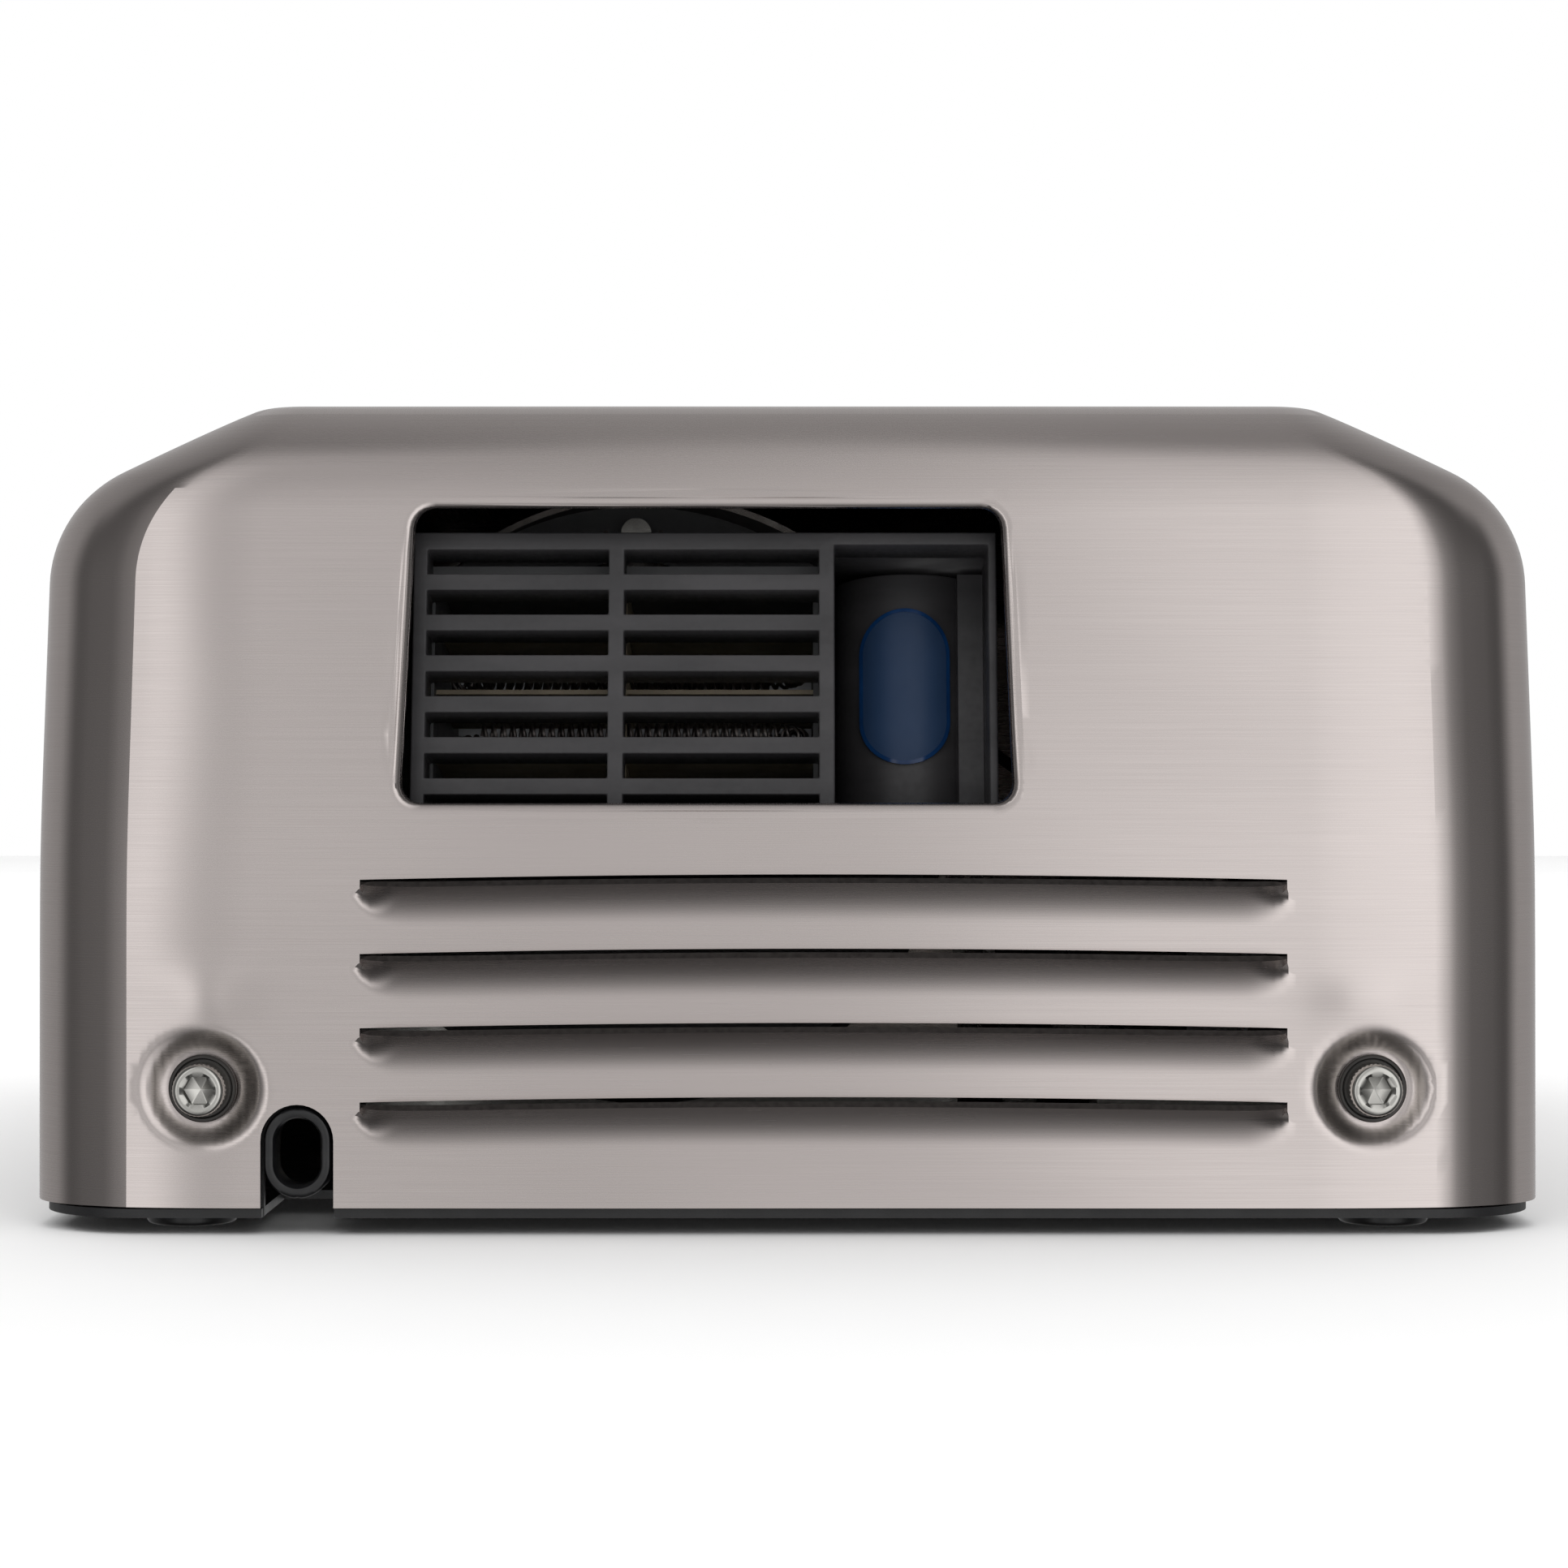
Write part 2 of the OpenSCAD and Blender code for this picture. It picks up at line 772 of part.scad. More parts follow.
module motor_drive_bracket()
{
    length = motor_y - blower_back;
    color(aluminium) on_axis(blower_back) difference() {
        union() {
            cylinder(h = 3, r = 51);
            cylinder(h = 3 + bearing_w, r = bearing_r + 3);
            ring(stator_r, stator_r - 5, length);
        }
        translate([0, 0, -1]) cylinder(h = 30, r = shaft_r + 2);
        translate([0, 0, 3]) cylinder(h = 30, r = bearing_r);
        translate([0, 0, -1]) arm_gaps(bearing_r + 5, stator_r - 7, 5);
        for (a = [0, 90]) rotate([0, 0, a]) translate([-60, -14, 12]) cube([120, 28, 9]);
        for (a = [45, 135, 225, 315]) rotate([0, 0, a]) translate([46, 0, -1]) cylinder(h = 6, r = 1.8);
    }
}

module motor_end_bracket()
{
    length = end_plate_y - end_y;
    color(aluminium) on_axis(end_y) difference() {
        union() {
            ring(stator_r, stator_r - 5, length);
            translate([0, 0, length - bearing_w]) cylinder(h = bearing_w, r = bearing_r + 3);
            translate([0, 0, length - 3]) cylinder(h = 3, r = stator_r);
        }
        translate([0, 0, length - bearing_w - 1]) cylinder(h = 30, r = bearing_r);
        translate([0, 0, length - 4]) arm_gaps(bearing_r + 5, stator_r - 7, 10);
        translate([-60, -9, 6]) cube([120, 18, 14]);
        translate([-9, -60, 6]) cube([18, 120, 14]);
    }
}

module motor_bolts()
{
    color(zinc) for (a = [45, 135, 225, 315]) on_axis(blower_back + 3) rotate([0, 0, a])
        translate([46, 0, 0]) pan_screw(3.5, 2.4, 1.8, 3);
}

module motor_mount_ring()
{
    color(black_rubber) on_axis(-49) ring(housing_r + 5, housing_r, 14);
}

module motor_saddle()
{
    outer = housing_r + 5;
    color(zinc) difference() {
        union() {
            translate([axis_x - 62, saddle_y, plate_top]) cube([124, 2, axis_z - plate_top - 20]);
            translate([axis_x - 62, saddle_y, plate_top]) cube([124, 22, 2]);
            for (side = [-1, 1]) translate([axis_x + side * 61 - 6, saddle_y, axis_z - 23])
                cube([12, 12, 3]);
        }
        on_axis(-60) cylinder(h = 40, r = outer);
        for (side = [-1, 1]) translate([axis_x + side * 45, saddle_y + 13, 0])
            cylinder(h = 20, r = 2);
    }
}

module motor_strap()
{
    outer = housing_r + 5;
    color(zinc) {
        difference() {
            on_axis(saddle_y) ring(outer + 1.5, outer, 12);
            translate([axis_x - 100, -100, axis_z - 120]) cube([200, 100, 100]);
        }
        for (side = [-1, 1]) difference() {
            translate([axis_x + side * 62 - 5, saddle_y, axis_z - 20]) cube([10, 12, 1.5]);
            translate([axis_x + side * 63, saddle_y + 6, 0]) cylinder(h = 100, r = 1.2);
        }
    }
}

module saddle_screws()
{
    color(zinc) {
        for (side = [-1, 1]) translate([axis_x + side * 63, saddle_y + 6, axis_z - 18.5])
            pan_screw(2.6, 2, 1.2, 1.5);
        for (side = [-1, 1]) translate([axis_x + side * 45, saddle_y + 13, plate_top + 2])
            pan_screw(3.5, 2.4, 2, 2);
    }
}

module board_corners(z)
{
    for (x = [-1, 1]) for (y = [-1, 1])
        translate([board_x + x * (board_w / 2 - 5), board_y + y * (board_l / 2 - 5), z]) children();
}

module control_board()
{
    color(board_green) difference() {
        translate([board_x - board_w / 2, board_y - board_l / 2, board_z]) cube([board_w, board_l, board_t]);
        board_corners(board_z - 1) cylinder(h = 5, r = 1.6);
    }
}

module board_standoffs()
{
    color(white_plastic) board_corners(plate_top) ring(3.5, 1.6, board_z - plate_top);
}

module board_screws()
{
    color(zinc) board_corners(board_top) pan_screw(3, 2, 1.6, 6);
}

module board_capacitor()
{
    color(dark_steel) translate([62, 50, board_top]) difference() {
        cylinder(h = 26, r = 9);
        translate([0, 0, 24]) ring(8, 7.2, 5);
    }
}

module film_capacitor()
{
    color(red_wire) translate([92, 42, board_top]) cube([9, 20, 14]);
}

module board_relay()
{
    color(black_plastic) translate([50, 4, board_top]) {
        cube([19, 16, 15]);
        translate([3, 3, 15]) cube([13, 10, 0.4]);
    }
}

module triac_heatsink()
{
    color(aluminium) translate([84, -8, board_top]) {
        cube([2.5, 34, 30]);
        for (i = [0:5]) translate([2.5, i * 6.3, 0]) cube([14, 2, 30]);
    }
}

module terminal_block()
{
    color(white_plastic) translate([58, -90, plate_top]) difference() {
        cube([46, 18, 16]);
        for (i = [0:2]) translate([9 + i * 14, 0, 0]) {
            for (y = [5, 13]) translate([0, y, 6]) cylinder(h = 20, r = 3);
            translate([0, -1, 7]) rotate([-90, 0, 0]) cylinder(h = 40, r = 2.4);
        }
    }
}

module terminal_screws()
{
    color(zinc) for (i = [0:2]) for (y = [5, 13])
        translate([67 + i * 14, y - 90, plate_top + 6.5]) difference() {
            cylinder(h = 6, r = 2.7);
            translate([-3, -0.4, 5]) cube([6, 0.8, 2]);
        }
}

module earth_screw()
{
    color(zinc) translate([40, -82, plate_top]) {
        cylinder(h = 1.2, r = 6);
        translate([0, 0, 1.2]) pan_screw(4, 2.6, 2.4, 1.2);
    }
}

module heat_switch_body()
{
    color(black_plastic) translate([94, -30, board_top]) difference() {
        cube([21, 15, 12]);
        translate([2, 2, 4]) cube([17, 11, 10]);
        translate([-1, 7.5, 9]) rotate([0, 90, 0]) cylinder(h = 30, r = 1);
    }
}

// The rocker is drawn resting on its off side, turned by its full throw at the joint's far end.
module heat_switch_rocker()
{
    color(red_wire) translate([94, -22.5, board_top + 9]) {
        rotate([0, 90, 0]) cylinder(h = 21, r = 0.95);
        translate([2.5, 0, 0]) rotate([9, 0, 0]) translate([0, -4.4, 0]) cube([16, 8.8, 3.4]);
        translate([2.5, 0, 0]) rotate([0, 90, 0]) cylinder(h = 16, r = 2.6);
    }
}

module speed_control_body()
{
    color(board_green) translate([60, -28, board_top]) difference() {
        union() {
            translate([-6, -6, 0]) cube([12, 12, 6]);
            cylinder(h = 9, r = 3.4);
        }
        translate([0, 0, 3]) cylinder(h = 10, r = 1.6);
    }
}

module speed_knob()
{
    color(white_plastic) translate([60, -28, board_top]) {
        translate([0, 0, 4]) cylinder(h = 6, r = 1.55);
        difference() {
            translate([0, 0, 9.3]) cylinder(h = 8, r = 6);
            translate([-0.6, 0, 15.3]) cube([1.2, 10, 5]);
            for (i = [1:12]) rotate([0, 0, i * 30]) translate([6.3, 0, 8]) cylinder(h = 20, r = 0.7, $fn = 16);
        }
    }
}

module motor_leads()
{
    color(red_wire) for (side = [-1, 1]) {
        start = [axis_x + 43, end_y + 13 + side * 2, axis_z];
        wire([start, [19, 58 + side * 4, 60], [28, 60 + side * 4, 30], [46, 36 + side * 2, lead_end_z]], 1.2);
    }
}

module heater_leads()
{
    color(white_plastic) for (side = [-1, 1])
        wire([[8.5, -102 + side * 3, 76 + side * 6], [30, -102 + side * 3, 74 + side * 5],
              [34 + side * 2, -76 + side * 3, 56 + side * 4], [38 + side * 3, -64, 32 + side * 2],
              [45 + side * 3, -18, lead_end_z]], 1.2);
}

module sensor_lead()
{
    color(carbon)
        wire([[34, -108, 84], [50, -90, 70], [56, -70, 40], [70, -38, lead_end_z]], 1.1);
}

module supply_leads()
{
    color(carbon) for (i = [0:1])
        wire([[67 + i * 14, -73, plate_top + 8], [67 + i * 14, -60, plate_top + 8],
              [66 + i * 8, -48, board_top + 3.4], [66 + i * 8, -36, lead_end_z]], 1.3);
}

cover();
screw_washers();
cover_screw(-1);  // cover_screw_left
cover_screw(1);  // cover_screw_right
base_plate();
foot(-foot_x, foot_low_y);  // foot_lower_left
foot(foot_x, foot_low_y);  // foot_lower_right
foot(-foot_x, foot_high_y);  // foot_upper_left
foot(foot_x, foot_high_y);  // foot_upper_right
cable_grommet();
outlet_grille();
sensor_lens();
sensor_board();
sensor_leds();
outlet_duct();
heater_frame();
heater_coil();
thermal_cutout();
duct_screws();
blower_housing_front();
blower_housing_rear();
diffuser();
impeller_first();
impeller_second();
fan_nut();
motor_shaft();
motor_bearings();
armature_core();
armature_windings();
commutator();
stator_core();
field_coils();
brush_holders();
carbon_brushes();
motor_drive_bracket();
motor_end_bracket();
motor_bolts();
motor_mount_ring();
motor_saddle();
motor_strap();
saddle_screws();
control_board();
board_standoffs();
board_screws();
board_capacitor();
film_capacitor();
board_relay();
triac_heatsink();
terminal_block();
terminal_screws();
earth_screw();
heat_switch_body();
heat_switch_rocker();
speed_control_body();
speed_knob();
motor_leads();
heater_leads();
sensor_lead();
supply_leads();
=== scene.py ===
import json
import math

import bmesh
import bpy
import numpy as np
from mathutils import Matrix, Vector
from mathutils.geometry import delaunay_2d_cdt


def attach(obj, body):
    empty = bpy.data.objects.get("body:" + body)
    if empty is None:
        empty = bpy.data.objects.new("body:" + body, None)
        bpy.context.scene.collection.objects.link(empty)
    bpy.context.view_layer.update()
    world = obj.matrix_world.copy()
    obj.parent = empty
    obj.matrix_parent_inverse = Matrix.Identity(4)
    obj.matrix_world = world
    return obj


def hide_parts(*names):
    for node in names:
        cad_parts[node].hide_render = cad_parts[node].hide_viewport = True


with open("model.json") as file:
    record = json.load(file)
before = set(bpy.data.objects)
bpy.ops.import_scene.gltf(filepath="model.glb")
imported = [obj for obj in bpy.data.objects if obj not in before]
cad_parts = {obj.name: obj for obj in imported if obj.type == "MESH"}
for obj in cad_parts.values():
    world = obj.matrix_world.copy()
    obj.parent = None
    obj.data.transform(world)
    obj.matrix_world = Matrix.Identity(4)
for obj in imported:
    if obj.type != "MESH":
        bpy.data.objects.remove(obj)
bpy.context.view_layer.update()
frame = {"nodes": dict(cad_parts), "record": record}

MM = 0.001

# ---------------------------------------------------------------- sizes, in millimetres

# The cover: its outline, and the rounds between its faces.
COVER_W = 257.4
TOP_Y = 166.5
PANEL_Y = -162.5
SHEET_T = 1.2
RIM_Z = 4.6
FRONT_Z = 142.0
CROWN = 1.0
FRONT_HALF_W = 92.8
CHAMFER = math.radians(27)
SHOULDER_R = 22.0
FRONT_R = 9.0
EDGE_R = 20.0
LEAST_EDGE_R = 6.0
SIDE_DRAFT = 0.1

# The underside leans in around the outlet, and eases away towards its corners.
LEAN_ANGLE = math.radians(10)
LEAN = math.tan(LEAN_ANGLE)
LEAN_Z = 64.0
LEAN_SOFTNESS = 5.0
EASE_FROM = 88.0
EASE_RUN = 20.7
EASE_DEPTH = 1.4
SHEET_WAVE = 0.14

# How finely the cover's rings are divided, and the height where the underside's own mesh ends.
CORNER_STEPS = 16
SIDE_STEPS = 60
EDGE_STEPS = 90
UNDERSIDE_TOP = 125.0

# The outlet window, and the outlines around it that carry its rolled edge.
WINDOW_X = -13.5
WINDOW_Z = 97.35
WINDOW_Y = PANEL_Y + (WINDOW_Z - LEAN_Z) * LEAN
WINDOW_W = 101.0
WINDOW_H = 50.1
WINDOW_R = 3.4
WINDOW_TAPER = 0.035
EDGE_ROLL = 1.5
ROLL_SHARE = 0.9
ROLL_LINES = (0.15, 0.4, 0.75, 1.1, 1.5, 2.1)

# The louvres: slits with the sheet below each one pressed out as a hood.
LOUVRE_X = 6.0
LOUVRE_HALF = 77.5
LOUVRE_TOP = 59.5
LOUVRE_PITCH = 12.4
LOUVRE_COUNT = 4
LOUVRE_BOW = 0.9
SLIT_GAP = 1.35
SLIT_MARGIN = 0.35
HOOD_OUT = 3.6
HOOD_LENGTH = 6.8
HOOD_END = 6.5
END_NICK = 0.9

# The cover screws' dimples, and the low swelling above each one.
SCREW_X = 98.0
SCREW_Z = 24.5
SCREW_HOLE_R = 2.6
DIMPLE_FLOOR_R = 6.0
DIMPLE_R = 10.9
DIMPLE_DEPTH = 2.4
SWELLING_X = 97.0
SWELLING_Z = 39.5
SWELLING_W = 7.0
SWELLING_H = 5.0
SWELLING_OUT = 0.5

# The grommet's notch, and the grommet's section as (y, half width, half height).
GROMMET_X = -82.0
GROMMET_Z = 13.8
NOTCH_W = 12.2
NOTCH_H = 15.8
GROMMET_SECTION = (
    (-161.9, 4.9, 6.8), (-161.75, 5.35, 7.3), (-161.3, 5.6, 7.6), (-160.8, 5.7, 7.7),
    (-158.8, 5.7, 7.7), (-158.6, 5.5, 7.5), (-158.6, 4.6, 6.2), (-157.1, 4.6, 6.2),
    (-157.1, 5.5, 7.5), (-156.8, 5.7, 7.7), (-154.6, 5.7, 7.7), (-154.1, 5.3, 7.3),
    (-154.1, 4.2, 6.1), (-154.7, 3.8, 5.7), (-160.9, 3.8, 5.7), (-161.65, 4.15, 6.05),
)

# The outlet grille, as x, depth behind the window, and height from the window's middle.
GRILLE_LEFT = -64.4
GRILLE_RIGHT = 36.0
GRILLE_LOW = -30.0
GRILLE_HIGH = 23.7
GRILLE_NEAR = 10.0
GRILLE_FAR = 20.0
SLOT_COLUMNS = ((-62.0, -30.8), (-28.1, 5.4))
SLOT_TOP = 18.5
SLOT_PITCH = 7.15
SLOT_H = 4.25
SLOT_ROWS = 7

# The sensor's pocket beside the slots, the column in it, and the lens on the column.
POCKET_WALL = 5.4
POCKET_LEFT = 8.1
POCKET_RIGHT = 34.5
POCKET_LOW = -27.3
POCKET_HIGH = 21.5
COLUMN_GAP = 1.2
LEDGE_X = 30.0
LEDGE_DEPTH = 27.0
SENSOR_X = 21.5
SENSOR_R = 13.0
SENSOR_DEPTH = 40.0
LENS_X = 20.7
LENS_W = 16.0
LENS_H = 28.0
LENS_R = 13.55

# The cover screws, and their washers' section as (radius, height).
WASHER_Y = -161.1
WASHER_SECTION = (
    (2.7, -1.0), (5.5, -1.0), (5.7, -0.8), (5.7, -0.25), (5.45, 0.0),
    (5.1, 0.0), (4.95, -0.15), (4.75, 0.0), (2.7, 0.0), (2.7, -1.0),
)
SCREW_HEAD = 8.8
HEAD_L = 5.0
HEAD_ROUND = 0.8
SOCKET = 4.6
SHANK_R = 2.38
SHANK_L = 16.0
THREAD_PITCH = 0.8
THREAD_DEPTH = 0.42

# The centres of the four feet.
FOOT_X = 102.8
FOOT_Y = 142.0

# The heater's three coiled elements: their middle depth, their two ends, and their heights.
HEATER_Y = 40.0
HEATER_NEAR = -54.0
HEATER_FAR = -3.0
HEATER_BEND = 5.0
HEATER_ROWS = (-20.0, -8.0, 4.0)
HEATER_COIL_R = 1.7
HEATER_PITCH = 1.7
HEATER_WIRE_R = 0.35

# Each lead's node, finish, radius and routes.
LEADS = (
    ("motor_leads", "wire_red", 1.2, (
        ((15, 47, 72), (19, 54, 60), (28, 56, 30), (46, 34, 22)),
        ((15, 51, 72), (19, 62, 60), (28, 64, 30), (46, 38, 22)),
    )),
    ("heater_leads", "wire_white", 1.2, (
        ((8.5, -105, 70), (30, -105, 69), (32, -79, 52), (35, -64, 30), (42, -18, 22)),
        ((8.5, -99, 82), (30, -99, 79), (36, -73, 60), (41, -64, 34), (48, -18, 22)),
    )),
    ("sensor_lead", "wire_black", 1.1, (((34, -108, 84), (50, -90, 70), (56, -70, 40), (70, -38, 22)),)),
    ("supply_leads", "wire_black", 1.3, (
        ((67, -73, 12.3), (67, -60, 12.3), (66, -48, 20), (66, -36, 22)),
        ((81, -73, 12.3), (81, -60, 12.3), (74, -48, 20), (74, -36, 22)),
    )),
)

# ---------------------------------------------------------------- small geometry helpers


def smooth(t):
    """Eases from 0 to 1 as t goes from 0 to 1."""
    t = np.clip(t, 0.0, 1.0)
    return t * t * t * (t * (6 * t - 15) + 10)


def fillet(corner, start, end, radius, steps):
    """Points along the arc that rounds a corner, from heading start to heading end, turning left."""
    reach = radius * math.tan((end - start) / 2)
    middle_x = corner[0] - reach * math.cos(start) - radius * math.sin(start)
    middle_z = corner[1] - reach * math.sin(start) + radius * math.cos(start)
    return [
        (middle_x + radius * math.sin(a), middle_z - radius * math.cos(a))
        for a in np.linspace(start, end, steps + 1)
    ]


def stadium(width, height, steps):
    """Outline of an upright stadium around the origin, anticlockwise."""
    radius = width / 2
    rise = height / 2 - radius
    outline = []
    for start, middle in ((0.0, rise), (math.pi, -rise)):
        for a in np.linspace(start, start + math.pi, steps):
            outline.append((radius * math.cos(a), middle + radius * math.sin(a)))
    return outline


def rounded_rectangle(width, height, radius, steps):
    """Outline of a rounded rectangle around the origin, anticlockwise."""
    outline = []
    signs = ((1, -1), (1, 1), (-1, 1), (-1, -1))
    for quarter, (sx, sz) in enumerate(signs):
        for a in np.linspace(0, math.pi / 2, steps) + (quarter - 1) * math.pi / 2:
            x = sx * (width / 2 - radius) + radius * math.cos(a)
            z = sz * (height / 2 - radius) + radius * math.sin(a)
            outline.append((x, z))
    return outline


def inside(points, outline):
    """Which of the points lie inside the closed outline."""
    points = np.asarray(points)
    hits = np.zeros(len(points), bool)
    x, z = points[:, 0], points[:, 1]
    previous = outline[-1]
    for current in outline:
        crosses = (current[1] > z) != (previous[1] > z)
        rise = previous[1] - current[1]
        if rise:
            edge_x = current[0] + (z - current[1]) * (previous[0] - current[0]) / rise
            hits ^= crosses & (x < edge_x)
        previous = current
    return hits


def make_object(name, verts, faces, body, material, smooth_angle=35):
    """A mesh object from points in millimetres, riding on a CAD body."""
    mesh = bpy.data.meshes.new(name)
    mesh.from_pydata([Vector(v) * MM for v in verts], [], faces)
    cleaned = bmesh.new()
    cleaned.from_mesh(mesh)
    bmesh.ops.remove_doubles(cleaned, verts=cleaned.verts, dist=1e-7)
    bmesh.ops.recalc_face_normals(cleaned, faces=cleaned.faces)
    cleaned.to_mesh(mesh)
    cleaned.free()
    mesh.materials.append(material)
    obj = bpy.data.objects.new(name, mesh)
    bpy.context.scene.collection.objects.link(obj)
    smooth_shade(obj, smooth_angle)
    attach(obj, body)
    return obj


def smooth_shade(obj, angle):
    """Smooth shading, with edges sharper than the angle kept crisp."""
    obj.data.polygons.foreach_set("use_smooth", [True] * len(obj.data.polygons))
    obj.data.set_sharp_from_angle(angle=math.radians(angle))


def add_modifier(obj, kind, **settings):
    """Adds a modifier and applies it to the mesh."""
    modifier = obj.modifiers.new(kind, kind)
    for key, value in settings.items():
        setattr(modifier, key, value)
    evaluated = obj.evaluated_get(bpy.context.evaluated_depsgraph_get())
    mesh = bpy.data.meshes.new_from_object(evaluated)
    obj.modifiers.clear()
    obj.data = mesh


def soften(obj, width, segments=2, angle=35):
    """Rounds an object's hard edges; the width is in millimetres."""
    add_modifier(
        obj, "BEVEL", width=width * MM, segments=segments,
        limit_method="ANGLE", angle_limit=math.radians(angle), harden_normals=False,
    )
    smooth_shade(obj, angle)


def lathe(profile, steps=64):
    """Turns a profile of (radius, height) points around Z. A radius of 0 closes an end."""
    verts, rings = [], []
    for radius, height in profile:
        if radius < 1e-6:
            rings.append([len(verts)] * steps)
            verts.append((0, 0, height))
            continue
        rings.append(list(range(len(verts), len(verts) + steps)))
        for a in np.linspace(0, 2 * math.pi, steps, endpoint=False):
            verts.append((radius * math.cos(a), radius * math.sin(a), height))
    return verts, ring_faces(rings)


def ring_faces(rings):
    """Faces between each closed ring of vertex numbers and the next."""
    faces = []
    for low, high in zip(rings, rings[1:]):
        for i in range(len(low)):
            j = (i + 1) % len(low)
            corners = [low[i], low[j], high[j], high[i]]
            kept = [c for n, c in enumerate(corners) if c not in corners[:n]]
            if len(kept) > 2:
                faces.append(kept)
    return faces


def loft(outlines):
    """Faces between equal-length outlines of 3D points, with both ends closed."""
    verts = [p for outline in outlines for p in outline]
    count = len(outlines[0])
    rings = [list(range(i * count, (i + 1) * count)) for i in range(len(outlines))]
    return verts, ring_faces(rings) + [rings[0][::-1], rings[-1]]


def moved(verts, matrix):
    """The points after a matrix has moved them."""
    return [tuple(matrix @ Vector(v)) for v in verts]


def tube(path, radius, sides=10):
    """A round tube along a path of points, with closed ends."""
    points = [Vector(p) for p in path]
    forward = [(b - a).normalized() for a, b in zip(points, points[1:])]
    forward.append(forward[-1])
    side = forward[0].orthogonal().normalized()
    outlines = []
    for point, along in zip(points, forward):
        side = (side - along * side.dot(along)).normalized()
        other = along.cross(side)
        ring = []
        for i in range(sides):
            a = 2 * math.pi * i / sides
            ring.append(point + radius * (math.cos(a) * side + math.sin(a) * other))
        outlines.append(ring)
    return loft(outlines)


def curve_through(points, steps=12):
    """A smooth path through the points."""
    p = [Vector(q) for q in points]
    p = [2 * p[0] - p[1]] + p + [2 * p[-1] - p[-2]]
    path = []
    for a, b, c, d in zip(p, p[1:], p[2:], p[3:]):
        for t in np.linspace(0, 1, steps, endpoint=False):
            path.append(0.5 * (
                2 * b + (c - a) * t + (2 * a - 5 * b + 4 * c - d) * t * t
                + (3 * b - a - 3 * c + d) * t * t * t
            ))
    path.append(p[-2])
    return path


# ---------------------------------------------------------------- material helpers


def new_material(name):
    """A new material, its node tree and its shader."""
    material = bpy.data.materials.new(name)
    material.use_nodes = True
    tree = material.node_tree
    return material, tree, tree.nodes["Principled BSDF"]


def add_node(tree, kind, inputs=(), **settings):
    """Adds a node; inputs are (socket, value or output socket) pairs."""
    node = tree.nodes.new(kind)
    for key, value in settings.items():
        setattr(node, key, value)
    for socket, value in inputs:
        if isinstance(value, bpy.types.NodeSocket):
            tree.links.new(value, node.inputs[socket])
        else:
            node.inputs[socket].default_value = value
    return node


def object_point(tree, scale=(1, 1, 1)):
    """The point on the surface in metres, stretched by scale."""
    place = add_node(tree, "ShaderNodeTexCoord").outputs["Object"]
    return add_node(tree, "ShaderNodeMapping", [("Vector", place), ("Scale", scale)]).outputs[0]


def grain_point(tree, scale):
    """The point on the surface in metres, first along the brushing and then across it."""
    place = add_node(tree, "ShaderNodeUVMap", uv_map="grain").outputs[0]
    return add_node(tree, "ShaderNodeMapping", [("Vector", place), ("Scale", scale)]).outputs[0]


def noise(tree, point, scale, detail=4.0, rough=0.55):
    """A noise texture's value at a point."""
    return add_node(tree, "ShaderNodeTexNoise", [
        ("Vector", point), ("Scale", scale), ("Detail", detail), ("Roughness", rough),
    ]).outputs["Fac"]


def remap(tree, value, low, high, new_low, new_high):
    """A value moved from one range to another."""
    return add_node(tree, "ShaderNodeMapRange", [
        ("Value", value), ("From Min", low), ("From Max", high),
        ("To Min", new_low), ("To Max", new_high),
    ]).outputs[0]


def mottled(tree, point, scale, detail, low, high):
    """Noise spread between a low and a high value."""
    return remap(tree, noise(tree, point, scale, detail), 0.3, 0.7, low, high)


def combine(tree, operation, first, second):
    """Two values put together by a math operation."""
    return add_node(tree, "ShaderNodeMath", [(0, first), (1, second)], operation=operation).outputs[0]


def blend_colour(tree, factor, first, second):
    """A colour between two colours, which are (red, green, blue)."""
    first, second = (c if isinstance(c, bpy.types.NodeSocket) else (*c, 1) for c in (first, second))
    return add_node(tree, "ShaderNodeMix", [
        ("Factor", factor), (6, first), (7, second),
    ], data_type="RGBA").outputs[2]


def paint(tree, shader, colour, gloss):
    """Gives the shader its colour and its roughness."""
    tree.links.new(colour, shader.inputs["Base Color"])
    tree.links.new(gloss, shader.inputs["Roughness"])


def add_bump(tree, shader, height, strength, distance):
    """Bump on top of whatever bump the shader already has."""
    inputs = [("Height", height), ("Strength", strength), ("Distance", distance * MM)]
    if shader.inputs["Normal"].is_linked:
        inputs.append(("Normal", shader.inputs["Normal"].links[0].from_socket))
    bump = add_node(tree, "ShaderNodeBump", inputs)
    tree.links.new(bump.outputs[0], shader.inputs["Normal"])


def finish_material(name, light, dark, roughness, scale=220.0, metallic=0.0, grain=0.3,
                    grain_mm=0.05, coat=0.0):
    """Two tones and a varying gloss over fine surface grain, which suits most moulded and cast parts."""
    material, tree, shader = new_material(name)
    point = object_point(tree)
    broad = noise(tree, point, scale * 0.12, 5.0)
    fine = noise(tree, point, scale * 12.0, 3.0)
    colour = blend_colour(tree, remap(tree, broad, 0.3, 0.7, 0.0, 1.0), dark, light)
    gloss = mottled(tree, point, scale, 4.0, roughness - 0.06, roughness + 0.06)
    paint(tree, shader, colour, gloss)
    shader.inputs["Metallic"].default_value = metallic
    shader.inputs["Coat Weight"].default_value = coat
    shader.inputs["Coat Roughness"].default_value = 0.15
    add_bump(tree, shader, fine, grain, grain_mm)
    return material


